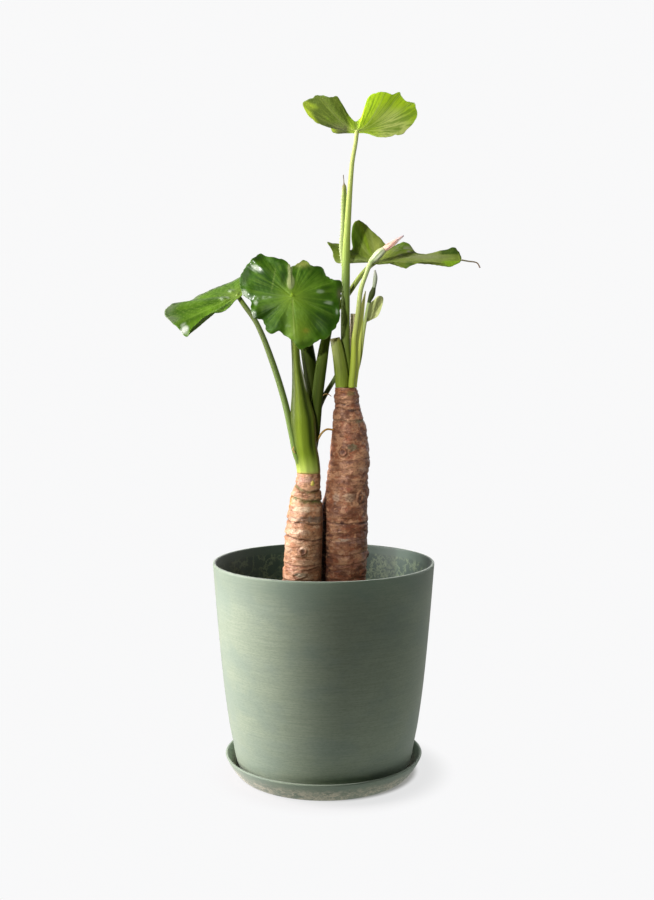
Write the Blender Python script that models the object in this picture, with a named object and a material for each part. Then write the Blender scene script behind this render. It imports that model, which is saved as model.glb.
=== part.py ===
"""A potted alocasia, or night-scented lily: two ringed trunks with their crowns of leaves and two
flower stalks, standing in soil in a tapered pot on a flared saucer.

Metres, +Z up, and +Y points away from the front. The origin is on the pot's axis, in the plane
that the saucer stands on. Sizes are given in millimetres and become metres where a mesh is made.
"""

import math

import bmesh
import bpy
from mathutils import Matrix, Vector

MM = 0.001
GAP = 0.3  # clearance between pieces that touch
GROWN = 0.4  # how much larger a neighbour's copy is that trims a piece

# Pot and saucer
RIM_RADIUS = 136.0
RIM_HEIGHT = 263.6
POT_WALL = 3.5
POT_FLOOR = 5.0
DRAIN_RADIUS = 11.0
TURNED_SEGMENTS = 44
SAUCER_RIM_RADIUS = 122.0
SAUCER_HEIGHT = 25.4
SAUCER_BASE_RADIUS = 103.0
SAUCER_FLOOR = 3.0

# Soil, and how deep the trunks stand in it
SOIL_EDGE_HEIGHT = 197.0
SOIL_MOUND = 8.0
TRUNK_FOOT_HEIGHT = 140.0

# Trunks: where they leave the soil, and how thick they are there
LEFT_FOOT = (-27.5, -10.0)
LEFT_FOOT_RADIUS = 24.2
RIGHT_FOOT = (25.0, 14.0)
RIGHT_FOOT_RADIUS = 28.4
RING_GROOVE = 1.0
RING_LIP = 0.7
RING_TILT = 1.3

# Leaves
BLADE = 1.2  # thickness of a blade, square to the leaf's plane
BLADE_RINGS = (0.28, 0.55, 0.8, 1.0)
BLADE_BEND = 1.6  # a ray of the blade rises by this power of its length


def clear_scene():
    for old in list(bpy.data.objects):
        bpy.data.objects.remove(old)


def finish_colour(name, colour, roughness):
    """A plain material with the sub-part's own colour."""
    made = bpy.data.materials.new(name)
    made.use_nodes = True
    shader = made.node_tree.nodes["Principled BSDF"]
    shader.inputs["Base Color"].default_value = (*colour, 1.0)
    shader.inputs["Roughness"].default_value = roughness
    shader.inputs["Metallic"].default_value = 0.0
    return made


def add_piece(name, shape, colour=None, roughness=0.5):
    """Turns a bmesh in millimetres into a named object in metres."""
    bmesh.ops.scale(shape, vec=(MM, MM, MM), verts=shape.verts)
    mesh = bpy.data.meshes.new(name)
    shape.to_mesh(mesh)
    shape.free()
    piece = bpy.data.objects.new(name, mesh)
    bpy.context.scene.collection.objects.link(piece)
    if colour:
        mesh.materials.append(finish_colour(name, colour, roughness))
    mesh.shade_smooth()
    mesh.set_sharp_from_angle(angle=math.radians(40))
    return piece


def keep_largest(mesh):
    """Drops the loose offcuts that trimming leaves beyond a neighbour."""
    shape = bmesh.new()
    shape.from_mesh(mesh)
    unseen = set(shape.verts)
    bodies = []
    while unseen:
        front = [unseen.pop()]
        body = set(front)
        while front:
            here = front.pop()
            for edge in here.link_edges:
                there = edge.other_vert(here)
                if there in unseen:
                    unseen.discard(there)
                    body.add(there)
                    front.append(there)
        bodies.append(body)
    largest = max(bodies, key=len)
    offcuts = [v for v in shape.verts if v not in largest]
    bmesh.ops.delete(shape, geom=offcuts, context="VERTS")
    shape.to_mesh(mesh)
    shape.free()


def trim(piece, neighbours):
    """Cuts grown copies of its neighbours, given as bmeshes, out of a piece."""
    for number, shape in enumerate(neighbours):
        cutter = add_piece(f"cutter_{number}", shape)
        cutter.hide_render = True
        cutter.display_type = "WIRE"
        cut = piece.modifiers.new("trim", "BOOLEAN")
        cut.operation = "DIFFERENCE"
        cut.solver = "EXACT"
        cut.object = cutter
        graph = bpy.context.evaluated_depsgraph_get()
        trimmed = bpy.data.meshes.new_from_object(piece.evaluated_get(graph))
        piece.modifiers.clear()
        old = piece.data
        piece.data = trimmed
        bpy.data.meshes.remove(old)
        bpy.data.objects.remove(cutter)
        keep_largest(trimmed)
    return piece


def turned(profile, segments=TURNED_SEGMENTS):
    """A closed solid of revolution about Z from (radius, height) points that start and end on the axis."""
    shape = bmesh.new()
    line = [shape.verts.new((radius, 0, height)) for radius, height in profile]
    edges = [shape.edges.new(pair) for pair in zip(line, line[1:])]
    bmesh.ops.spin(
        shape,
        geom=line + edges,
        cent=(0, 0, 0),
        axis=(0, 0, 1),
        angle=math.tau,
        steps=segments,
        use_merge=True,
    )
    bmesh.ops.remove_doubles(shape, verts=shape.verts, dist=0.01)
    bmesh.ops.recalc_face_normals(shape, faces=shape.faces)
    return shape


def hermite(start, end, slope_start, slope_end, span, share):
    """Cubic through two values with given slopes; share runs from 0 to 1 over the span."""
    s2, s3 = share * share, share**3
    return (
        (2 * s3 - 3 * s2 + 1) * start
        + (s3 - 2 * s2 + share) * span * slope_start
        + (3 * s2 - 2 * s3) * end
        + (s3 - s2) * span * slope_end
    )


def smooth_at(keys, where):
    """Values at one place along keys (place, value, value, ...), on a smooth curve through them."""
    last = len(keys) - 1
    i = 0
    while i < last - 1 and where > keys[i + 1][0]:
        i += 1
    span = keys[i + 1][0] - keys[i][0]
    share = min(max((where - keys[i][0]) / span, 0.0), 1.0)

    def slope(k, column):
        before, after = keys[max(k - 1, 0)], keys[min(k + 1, last)]
        return (after[column] - before[column]) / (after[0] - before[0])

    return [
        hermite(keys[i][c], keys[i + 1][c], slope(i, c), slope(i + 1, c), span, share)
        for c in range(1, len(keys[0]))
    ]


def route_of(points):
    """Keys for smooth_at from (x, y, z, radius) points, placed by their distance along the route."""
    keys = []
    distance = 0.0
    for k, point in enumerate(points):
        if k:
            distance += (Vector(point[:3]) - Vector(points[k - 1][:3])).length
        keys.append((distance, *point))
    return keys


def close_rings(shape, rings):
    """Joins rings of points into a tube with a flat cap at each end."""
    loops = [[shape.verts.new(p) for p in ring] for ring in rings]
    count = len(loops[0])
    for low, high in zip(loops, loops[1:]):
        for k in range(count):
            after = (k + 1) % count
            shape.faces.new((low[k], low[after], high[after], high[k]))
    shape.faces.new(reversed(loops[0]))
    shape.faces.new(loops[-1])
    bmesh.ops.recalc_face_normals(shape, faces=shape.faces)
    return shape


def stem(points, rings, sides=10, start=0.0, stop=None, grow=0.0):
    """A round tapering stem through (x, y, z, radius) points, or the stretch of it from start to stop."""
    keys = route_of(points)
    stop = keys[-1][0] if stop is None else stop
    turn = None
    loops = []
    for k in range(rings):
        here = start + (stop - start) * k / (rings - 1)
        x, y, z, radius = smooth_at(keys, here)
        ahead = Vector(smooth_at(keys, min(here + 0.5, keys[-1][0]))[:3])
        behind = Vector(smooth_at(keys, max(here - 0.5, 0.0))[:3])
        along = (ahead - behind).normalized()
        if turn is None:
            turn = along.to_track_quat("Z", "X").to_matrix()
        else:
            turn = (turn.col[2].rotation_difference(along)).to_matrix() @ turn
        loops.append([])
        for s in range(sides):
            angle = math.tau * s / sides
            reach = max(radius, 0.35) + grow
            spot = Vector((math.cos(angle) * reach, math.sin(angle) * reach, 0))
            loops[-1].append(Vector((x, y, z)) + turn @ spot)
    return close_rings(bmesh.new(), loops)


def pot():
    inner_floor = SAUCER_FLOOR + GAP + POT_FLOOR
    outer = [
        (96, SAUCER_FLOOR + GAP),
        (103, 7),
        (108.5, 18),
        (112.9, 41),
        (117.5, 66),
        (124.0, 117),
        (130.8, 192),
        (135.8, 259),
        (RIM_RADIUS, RIM_HEIGHT - 0.8),
        (RIM_RADIUS - 0.7, RIM_HEIGHT),
    ]
    inner = [
        (RIM_RADIUS - POT_WALL + 0.7, RIM_HEIGHT),
        (RIM_RADIUS - POT_WALL, RIM_HEIGHT - 0.8),
    ]
    inner += [(r - POT_WALL, z) for r, z in reversed(outer[2:-2])]
    inner += [(100, 11.5), (92, inner_floor)]
    shape = turned([(0, SAUCER_FLOOR + GAP)] + outer + inner + [(0, inner_floor)])
    body = add_piece("pot", shape, (0.13, 0.19, 0.145), 0.62)
    drain = bmesh.new()
    bmesh.ops.create_cone(
        drain,
        cap_ends=True,
        segments=24,
        radius1=DRAIN_RADIUS,
        radius2=DRAIN_RADIUS,
        depth=4 * POT_FLOOR,
        matrix=Matrix.Translation((0, 0, SAUCER_FLOOR + POT_FLOOR / 2)),
    )
    trim(body, [drain])


def saucer():
    profile = [
        (0, 0),
        (SAUCER_BASE_RADIUS, 0),
        (SAUCER_BASE_RADIUS + 4.6, 2.2),
        (SAUCER_BASE_RADIUS + 10.6, 9.5),
        (SAUCER_BASE_RADIUS + 15.6, 17.5),
        (SAUCER_RIM_RADIUS, SAUCER_HEIGHT - 0.8),
        (SAUCER_RIM_RADIUS - 0.8, SAUCER_HEIGHT),
        (SAUCER_RIM_RADIUS - 2.4, SAUCER_HEIGHT),
        (SAUCER_RIM_RADIUS - 3.2, SAUCER_HEIGHT - 0.9),
        (SAUCER_BASE_RADIUS + 12.4, 18.0),
        (SAUCER_BASE_RADIUS + 7.6, 10.5),
        (SAUCER_BASE_RADIUS + 2.0, 4.4),
        (SAUCER_BASE_RADIUS - 2.6, SAUCER_FLOOR),
        (0, SAUCER_FLOOR),
    ]
    add_piece("saucer", turned(profile), (0.12, 0.17, 0.13), 0.6)


def post(foot, radius, bottom, top):
    """A plain round cutter that stands at a trunk's foot."""
    shape = bmesh.new()
    bmesh.ops.create_cone(
        shape,
        cap_ends=True,
        segments=36,
        radius1=radius,
        radius2=radius,
        depth=top - bottom,
        matrix=Matrix.Translation((*foot, (top + bottom) / 2)),
    )
    return shape


def soil():
    floor = SAUCER_FLOOR + GAP + POT_FLOOR + GAP
    wall = [
        (91.0, floor),
        (99.3, 12.0),
        (104.4, 18.4),
        (108.9, 41.1),
        (113.5, 66.1),
        (120.0, 117),
        (126.7, 190),
        (127.0, SOIL_EDGE_HEIGHT),
    ]
    top = [
        (108, SOIL_EDGE_HEIGHT + 0.4 * SOIL_MOUND),
        (66, SOIL_EDGE_HEIGHT + 0.8 * SOIL_MOUND),
    ]
    shape = turned([(0, floor)] + wall + top + [(0, SOIL_EDGE_HEIGHT + SOIL_MOUND)])
    body = add_piece("soil", shape, (0.045, 0.03, 0.02), 0.95)
    hole_floor = TRUNK_FOOT_HEIGHT - GAP
    hole_top = SOIL_EDGE_HEIGHT + 3 * SOIL_MOUND
    clear = 2 * GAP
    left = post(LEFT_FOOT, LEFT_FOOT_RADIUS + clear, hole_floor, hole_top)
    right = post(RIGHT_FOOT, RIGHT_FOOT_RADIUS + clear, hole_floor, hole_top)
    trim(body, [left, right])


def trunk(spine, rings, eyes, sides, grow=0.0):
    """A trunk of stacked leaf scars: a groove and a lip at each ring, with raised eyes between."""
    top = spine[-1][0]
    rows = [(TRUNK_FOOT_HEIGHT, 0.0, 0.0), (rings[0] - 6.0, 0.0, 0.0)]
    for k, height in enumerate(rings):
        after = rings[k + 1] if k + 1 < len(rings) else top
        tilt = RING_TILT * math.sin(2.4 * k + 0.7)
        rows.append((height, -RING_GROOVE, tilt))
        rows.append((height + 1.8, RING_LIP, tilt))
        if after - height > 7.0:
            rows.append(((height + after) / 2 + 0.6, 0.2, tilt / 2))
    rows.append((top - 1.2, 0.2, 0.0))
    rows.append((top, -0.8, 0.0))
    loops = []
    for number, (height, relief, tilt) in enumerate(rows):
        x, y, radius = smooth_at(spine, height)
        loop = []
        for s in range(sides):
            angle = math.tau * s / sides
            bump = 0.0
            for eye_height, eye_angle, eye_size, eye_rise in eyes:
                turned_by = (angle - math.radians(eye_angle) + math.pi) % math.tau - math.pi
                apart = math.hypot(radius * turned_by, height - eye_height)
                bump += eye_rise * math.exp(-((apart / eye_size) ** 2))
            lean = tilt * math.sin(angle + 1.9 * number)
            reach = radius + relief + bump + 0.25 * abs(relief) * math.sin(5 * angle + number) + grow
            loop.append((x + reach * math.cos(angle), y + reach * math.sin(angle), height + lean))
        loops.append(loop)
    if grow:
        loops[0] = [(x, y, z - grow) for x, y, z in loops[0]]
        loops[-1] = [(x, y, z + grow) for x, y, z in loops[-1]]
    return close_rings(bmesh.new(), loops)


# Trunk spines: height, then the centre's x and y, and the radius
LEFT_SPINE = [
    (TRUNK_FOOT_HEIGHT, *LEFT_FOOT, LEFT_FOOT_RADIUS - 2.0),
    (200, *LEFT_FOOT, LEFT_FOOT_RADIUS - 1.2),
    (241, -27.2, -10, 23.4),
    (266, -26, -10, 22.9),
    (290, -25, -10, 22.3),
    (312, -23.6, -10, 21.6),
    (340, -21.8, -10, 19.0),
    (362, -19.4, -10, 15.6),
    (373, -18.4, -10, 14.4),
]
LEFT_RINGS = (206, 216, 227, 238, 251, 264, 277, 290, 300, 311, 321, 331, 341, 352, 361)
LEFT_EYES = [(275, -96, 5, 2.2), (247, -106, 6, 2.4), (336, -168, 4, 2.2), (232, 20, 6, 2), (300, 80, 6, 2)]
RIGHT_SPINE = [
    (TRUNK_FOOT_HEIGHT, *RIGHT_FOOT, RIGHT_FOOT_RADIUS - 2.4),
    (200, *RIGHT_FOOT, RIGHT_FOOT_RADIUS - 1.4),
    (237, 25, 14, 28.0),
    (262, 25.4, 14, 28.8),
    (300, 25.6, 14, 28.9),
    (330, 26.2, 13, 28.5),
    (345, 28, 12, 27.2),
    (369, 30, 11, 25.8),
    (391, 32, 10, 24.7),
    (412, 32, 9, 23.3),
    (430, 31, 8, 20.6),
    (449, 29, 8, 16.5),
    (461, 28, 7, 15.0),
    (476.5, 27, 6, 13.5),
]
RIGHT_RINGS = (
    *(207, 217, 228, 239, 250, 261, 272, 283, 294, 308, 320, 332, 345, 354),
    *(363, 375, 387, 399, 411, 425, 438, 447, 454, 462, 470),
)
RIGHT_EYES = [
    (400, -112, 5.5, 2.6),
    (340, -50, 5, 2.4),
    (268, -18, 3, 2.6),
    (300, 120, 6, 2.4),
    (372, 60, 5, 2.2),
    (232, -120, 6, 1.8),
]
TRUNK_TOPS = {"left": LEFT_SPINE[-1][0], "right": RIGHT_SPINE[-1][0]}


def left_trunk(grow=0.0):
    return trunk(LEFT_SPINE, LEFT_RINGS, LEFT_EYES, 17, grow)


def right_trunk(grow=0.0):
    return trunk(RIGHT_SPINE, RIGHT_RINGS, RIGHT_EYES, 19, grow)


def trunks():
    add_piece("trunk_left", left_trunk(), (0.36, 0.24, 0.15), 0.75)
    add_piece("trunk_right", right_trunk(), (0.32, 0.2, 0.14), 0.75)


def blade(joint, tip_way, face_way, outline, rays, rings=BLADE_RINGS, thickness=BLADE):
    """A waved leaf blade. Its margin is given in the leaf's own frame, seen from its upper face, as
    (angle from the tip in degrees, distance from the joint, rise above the leaf's plane), in turn."""
    along = Vector(tip_way).normalized()
    up = Vector(face_way)
    up = (up - along * up.dot(along)).normalized()
    across = up.cross(along)
    joint = Vector(joint)
    count = len(outline)
    margin = []
    for degrees, length, rise in outline:
        angle = math.radians(degrees)
        margin.append((length * math.cos(angle), length * math.sin(angle), rise))
    loop = [(k, *margin[k % count]) for k in range(-2, count + 3)]

    def middle(ray, share):
        a, b, rise = smooth_at(loop, count * ray / rays)
        return joint + along * a * share + across * b * share + up * rise * share**BLADE_BEND

    grid = [[middle(ray, share) for ray in range(rays)] for share in rings]
    shape = bmesh.new()
    margins = []
    for side in (1, -1):
        half = up * (side * thickness / 2)
        centre = shape.verts.new(joint + half)
        loops = [[shape.verts.new(spot + half) for spot in ring] for ring in grid]
        margins.append(loops[-1])
        for r in range(rays):
            after = (r + 1) % rays
            shape.faces.new((centre, loops[0][r], loops[0][after]))
            for inner, outer in zip(loops, loops[1:]):
                shape.faces.new((inner[r], outer[r], outer[after]))
                shape.faces.new((inner[r], outer[after], inner[after]))
    upper, lower = margins
    for r in range(rays):
        after = (r + 1) % rays
        shape.faces.new((upper[r], lower[r], lower[after]))
        shape.faces.new((upper[r], lower[after], upper[after]))
    bmesh.ops.recalc_face_normals(shape, faces=shape.faces)
    return shape


# Each leaf: joint, way to the tip, way its upper face looks, margin from the notch round to the notch
LEAVES = {
    "leaf_front": dict(
        joint=(-37, -24, 585),
        tip_way=(0.05, -0.3, -0.95),
        face_way=(0, -0.95, 0.3),
        rays=50,
        outline=[
            *((180, 7, -1), (172, 15, -3), (172, 30, -4), (171, 47, -8), (162, 53, -9)),
            *((149, 49, -7), (138, 55, -12), (124, 51, -7), (114, 58, -10)),
            *((111, 64, -13), (98, 60, -14), (79, 57, -8), (64, 62, -12), (47, 63, -8)),
            *((36, 63, -11), (27, 61, -7), (14, 63, -7), (5, 64, -5), (-3, 54, -4)),
            *((-15, 47, -8), (-24, 44, -4), (-32, 52, -2), (-45, 49, -7), (-58, 44, -10)),
            *((-65, 53, -5), (-76, 53, -4), (-89, 50, -8), (-99, 61, -8), (-109, 67, -11)),
            *((-118, 71, -12), (-130, 71, -9), (-140, 71, -7), (-149, 74, -12), (-154, 62, -7)),
            *((-164, 58, -6), (-170, 48, -8), (-171, 30, -4), (-171, 15, -3)),
        ],
    ),
    "leaf_top": dict(
        joint=(40, -4, 784.5),
        tip_way=(0.75, 0.65, 0.12),
        face_way=(-0.05, -0.1, 1),
        rays=50,
        outline=[
            *((-138, 9, 9), (-117, 20, 12), (-115, 33, 22), (-112, 41, 31), (-104, 47, 35)),
            *((-93, 51, 36), (-80, 52, 34), (-68, 57, 39), (-58, 56, 33), (-46, 61, 28)),
            *((-30, 72, 29), (-16, 83, 23), (-7, 93, 17), (-2, 95, 11), (3, 92, 3)),
            *((9, 91, -4), (14, 88, -2), (20, 87, -5), (28, 79, -4), (38, 72, 2)),
            *((55, 63, 2), (76, 59, 3), (86, 54, 11), (105, 56, 13), (119, 59, 20)),
            *((136, 63, 34), (148, 54, 38), (161, 46, 41), (178, 42, 37), (190, 36, 36)),
            *((195, 30, 28), (197, 21, 19), (207, 12, 11)),
        ],
    ),
    "leaf_left": dict(
        joint=(-104.5, -6, 588.5),
        tip_way=(-0.8, -0.35, -0.5),
        face_way=(-0.2, -0.6, 0.75),
        rays=44,
        outline=[
            *((-200, 8, 1), (-171, 23, -4), (-150, 39, -3), (-128, 42, -3), (-111, 41, -6)),
            *((-95, 43, -7), (-77, 47, -6), (-57, 56, -5), (-47, 61, -4), (-39, 68, 1)),
            *((-34, 76, 6), (-28, 82, 9), (-22, 87, 11), (-17, 90, 10), (-10, 88, 8)),
            *((-1, 86, 5), (10, 85, -4), (13, 77, 3), (17, 68, 9), (21, 61, 12)),
            *((27, 52, 12), (33, 46, 8), (38, 39, 6), (42, 29, 4), (50, 15, 2), (110, 8, 1)),
        ],
    ),
    "leaf_right": dict(
        joint=(66.4, 14, 631),
        tip_way=(1, -0.1, 0),
        face_way=(0, -0.2, 1),
        rays=50,
        outline=[
            *((156, 37, 12), (140, 45, 29), (131, 50, 42), (122, 51, 47), (113, 47, 42)),
            *((102, 41, 32), (89, 38, 25), (76, 36, 17), (64, 37, 15), (54, 41, 18)),
            *((45, 45, 20), (38, 48, 16), (30, 54, 7), (23, 67, 5), (17, 79, 5)),
            *((14, 86, 10), (10, 96, 13), (5, 100, 7), (1, 101, 0), (-3, 95, -4)),
            *((-6, 87, -6), (-8, 79, -2), (-12, 64, 0), (-19, 50, -1), (-26, 44, -4)),
            *((-31, 40, -7), (-35, 34, -4), (-41, 26, 1), (-57, 21, -1), (-86, 16, -3)),
            *((-122, 16, -1), (-158, 21, 2), (-170, 34, 0), (-172, 43, -2), (-174, 51, -1)),
            *((-177, 55, 6), (-183, 59, 16), (-187, 63, 22), (-192, 57, 21), (-197, 48, 19)),
        ],
    ),
    "leaf_small": dict(
        joint=(54.8, 25, 562),
        tip_way=(0.55, 0, 0.85),
        face_way=(0.1, -1, 0),
        rays=24,
        rings=(0.35, 0.7, 1.0),
        outline=[
            *((-174, 4, 0), (-76, 5, 2), (-45, 12, 4), (-21, 20, 3), (-8, 29, -1)),
            *((-1, 32, -3), (8, 30, -3), (14, 24, -3), (23, 19, -2), (36, 10, -1)),
        ],
    ),
}
LEAF_COLOURS = {
    "leaf_front": (0.035, 0.13, 0.022),
    "leaf_top": (0.2, 0.36, 0.05),
    "leaf_left": (0.09, 0.26, 0.025),
    "leaf_right": (0.16, 0.25, 0.07),
    "leaf_small": (0.25, 0.32, 0.12),
}


def leaf(name, grow=0.0):
    return blade(**LEAVES[name], thickness=BLADE + 2 * grow)


def leaves():
    for name, colour in LEAF_COLOURS.items():
        add_piece(name, leaf(name), colour, 0.35)


# Stems: (x, y, z, radius) from the foot up
FRONT_PETIOLE = [
    (-18.4, -10, TRUNK_TOPS["left"] + GAP, 14.2),
    (-18.4, -10, 377, 14.3),
    (-20, -10, 389, 14.6),
    (-23, -11, 406, 14.8),
    (-24.5, -12, 426, 15.2),
    (-25.5, -13, 441, 15.0),
    (-27, -14, 453, 13.0),
    (-28.5, -15, 468, 10.3),
    (-30.5, -15, 486, 7.6),
    (-33, -13, 508, 5.3),
    (-34.5, -8, 530, 4.9),
    (-36.5, -1, 560, 4.5),
    (-37.5, 2, 582, 4.2),
    (-38, 0, 595, 3.9),
    (-38, -5, 601, 3.6),
    (-38, -12, 598, 3.4),
    (-37.5, -18, 591, 3.1),
    (-37, -23.5, 584.5, 2.8),
]
LEFT_PETIOLE = [
    (-24, -14, 378, 4.0),
    (-32.5, -17, 395, 4.2),
    (-38, -16, 420, 4.1),
    (-47.5, -12, 462, 3.9),
    (-63, -8, 511, 3.7),
    (-80, -6, 553, 3.2),
    (-97, -5, 578, 3.0),
    (-104.5, -6, 589, 2.8),
]
INNER_PETIOLE = [
    (-18, -5, 400, 7),
    (-17, -1, 420, 8.8),
    (-15, 3, 449, 9.2),
    (-15, 6, 486, 9.0),
    (-20, 9, 523, 8.2),
    (-24, 12, 550, 5.8),
    (-29, 14, 576, 4.4),
    (-31, 15, 592, 4.8),
    (-32, 16, 606, 0.8),
]
RIGHT_PETIOLE = [
    (-13, -6, 400, 5),
    (-10.5, -4, 425, 6.2),
    (-8, -4, 462, 6.8),
    (-2.5, 0, 506, 6.8),
    (2.5, 6, 535, 5.6),
    (11, 12, 562, 3.7),
    (21, 16, 579, 3.3),
    (32, 17.5, 594, 3.2),
    (46, 17, 614, 3.0),
    (58, 15, 626, 2.9),
    (66, 14, 631, 2.6),
]
SMALL_PETIOLE = [
    (-12, 0, 405, 3),
    (-8, 6, 431, 3.2),
    (-4, 10, 456, 3.2),
    (14, 18, 488, 2.7),
    (33, 23, 523, 2.3),
    (49, 25, 553, 1.9),
    (54.8, 25, 562, 1.6),
]
TOP_PETIOLE = [
    (28, 7, TRUNK_TOPS["right"] + GAP, 6.4),
    (28, 7, 481, 6.3),
    (28.5, 6, 493, 6.1),
    (27.5, 5, 515, 5.9),
    (26.5, 5, 535, 5.6),
    (26.5, 4, 583, 5.3),
    (27.5, 4, 643, 4.7),
    (29, 4, 673, 3.9),
    (34, 2, 744, 2.8),
    (38.5, -1, 771, 2.5),
    (40, -4, 784.5, 2.6),
]
CUT_SHEATH = [
    (22, 1, TRUNK_TOPS["right"] + GAP, 7.6),
    (22, 1, 481, 8.0),
    (21.5, -1, 493, 8.4),
    (18.5, -3, 515, 7.6),
    (14, -4, 537, 6.4),
]
OPEN_BLOOM = [
    (34, -1, TRUNK_TOPS["right"] + GAP, 4.1),
    (34, -1, 481, 4.1),
    (36, -1, 504, 3.9),
    (37, -1.5, 535, 3.2),
    (39, -2, 549, 3.0),
    (42, -3, 571, 2.9),
    (45, -4, 595, 2.8),
    (51, -5, 613, 2.7),
    (57, -6, 628, 3.3),
    (62, -6, 633, 4.7),
    (68, -7, 639, 4.8),
    (73, -7, 643, 3.4),
    (79, -7, 647, 3.5),
    (86, -8, 652, 2.7),
    (90, -8, 655, 1.8),
    (96, -8, 659, 0.8),
]
OPEN_BLOOM_TUBE = 8  # the spathe tube starts at this point of the bloom, and its limb at the next
OPEN_BLOOM_LIMB = 11
BUD_BLOOM = [
    (36, 13, TRUNK_TOPS["right"] + GAP, 2.3),
    (36, 13, 480, 2.3),
    (44, 12, 510, 2.3),
    (49, 8, 547, 2.2),
    (55, 5, 580, 2.2),
    (57.5, 4.3, 587, 3.3),
    (59, 4, 591, 3.7),
    (61, 3, 598, 2.4),
    (62.5, 2, 610, 2.6),
    (62, 1.5, 619, 0.9),
]
BUD_BLOOM_TUBE = 4
BUD_BLOOM_LIMB = 7
POINTED_BRACT = [
    (37.5, 6.5, TRUNK_TOPS["right"] + GAP, 3.4),
    (37.5, 6.5, 480, 3.4),
    (41, 6.5, 510, 3.6),
    (43, 7, 535, 3.6),
    (47, 7.5, 572, 2.7),
    (51, 8, 594, 0.6),
]
DRY_STUB = [
    (30, 15, TRUNK_TOPS["right"] + GAP, 3.2),
    (30, 15, 480, 3.2),
    (34.5, 15, 529, 3.6),
    (36, 15, 567, 3.0),
]
ROLLED_TOP = [
    (24.5, 8, 622, 2.2),
    (23.2, 7, 645, 4.0),
    (24.2, 7, 668, 3.5),
    (24.6, 7, 697, 3.2),
    (24.9, 6, 714, 2.6),
    (24.8, 6, 722, 1.4),
    (23.8, 5, 733, 0.5),
]
AERIAL_ROOT = [
    (-12, -8, 405, 1.3),
    (-7, -8, 414, 1.3),
    (-2, -7, 422, 1.2),
    (4, -2, 426, 1.2),
    (12, 3, 425, 1.2),
]
LEFT_BUD = [(-16, -20, 356, 3.0), (-14.5, -22.5, 361, 4.0), (-13.5, -23.5, 367, 0.8)]
RIGHT_LEAF_TIP = [
    (166.5, 5.0, 631.4, 1.0),
    (175, 6, 630, 0.9),
    (186, 6, 628, 0.8),
    (190, 5, 622, 0.9),
]


def grown(points, rings, sides=10):
    return stem(points, rings, sides, grow=GROWN)


def left_crown():
    """Stalks that rise from the left trunk. Each later one is trimmed where an earlier one wraps it."""
    front = add_piece("petiole_front", stem(FRONT_PETIOLE, 24, 11), (0.2, 0.36, 0.05), 0.4)
    trim(front, [leaf("leaf_front", GROWN)])

    right = add_piece("petiole_right", stem(RIGHT_PETIOLE, 16), (0.06, 0.14, 0.02), 0.4)
    trim(right, [grown(FRONT_PETIOLE, 24, 11), leaf("leaf_right", GROWN)])

    inner_route = route_of(INNER_PETIOLE)
    rolled_from = inner_route[6][0]
    inner = stem(INNER_PETIOLE, 9, stop=rolled_from - GAP / 2)
    inner = add_piece("petiole_inner", inner, (0.05, 0.12, 0.02), 0.4)
    trim(inner, [grown(FRONT_PETIOLE, 24, 11), grown(RIGHT_PETIOLE, 16)])
    rolled = stem(INNER_PETIOLE, 5, start=rolled_from + GAP / 2)
    add_piece("leaf_rolled_inner", rolled, (0.3, 0.45, 0.1), 0.4)

    small = add_piece("petiole_small", stem(SMALL_PETIOLE, 12, 8), (0.07, 0.13, 0.03), 0.45)
    stalks = [grown(FRONT_PETIOLE, 24, 11), grown(RIGHT_PETIOLE, 16), grown(INNER_PETIOLE, 9)]
    trim(small, [*stalks, leaf("leaf_small", GROWN)])

    left = add_piece("petiole_left", stem(LEFT_PETIOLE, 14), (0.1, 0.22, 0.03), 0.4)
    trim(left, [grown(FRONT_PETIOLE, 24, 11), leaf("leaf_left", GROWN)])

    root = add_piece("aerial_root", stem(AERIAL_ROOT, 9, 6), (0.5, 0.3, 0.06), 0.6)
    trim(root, [grown(FRONT_PETIOLE, 24, 11), grown(RIGHT_PETIOLE, 16), right_trunk(GROWN)])

    bud = add_piece("bud_left", stem(LEFT_BUD, 5, 8), (0.55, 0.5, 0.08), 0.5)
    trim(bud, [left_trunk(GROWN)])

    tip = add_piece("leaf_right_tip", stem(RIGHT_LEAF_TIP, 9, 6), (0.2, 0.1, 0.05), 0.7)
    trim(tip, [leaf("leaf_right", GROWN)])


def bloom(name, points, tube_at, limb_at, rings, colours):
    """A flower stalk, the closed spathe tube on it and the spathe's limb, end to end."""
    places = [key[0] for key in route_of(points)]
    tube, limb = places[tube_at], places[limb_at]
    stalk = stem(points, rings[0], 8, stop=tube - GAP / 2)
    stalk = add_piece(f"peduncle_{name}", stalk, colours[0], 0.45)
    shape = stem(points, rings[1], 8, start=tube + GAP / 2, stop=limb - GAP / 2)
    add_piece(f"spathe_{name}_tube", shape, colours[1], 0.45)
    shape = stem(points, rings[2], 8, start=limb + GAP / 2)
    add_piece(f"spathe_{name}_limb", shape, colours[2], 0.6)
    return stalk


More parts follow.
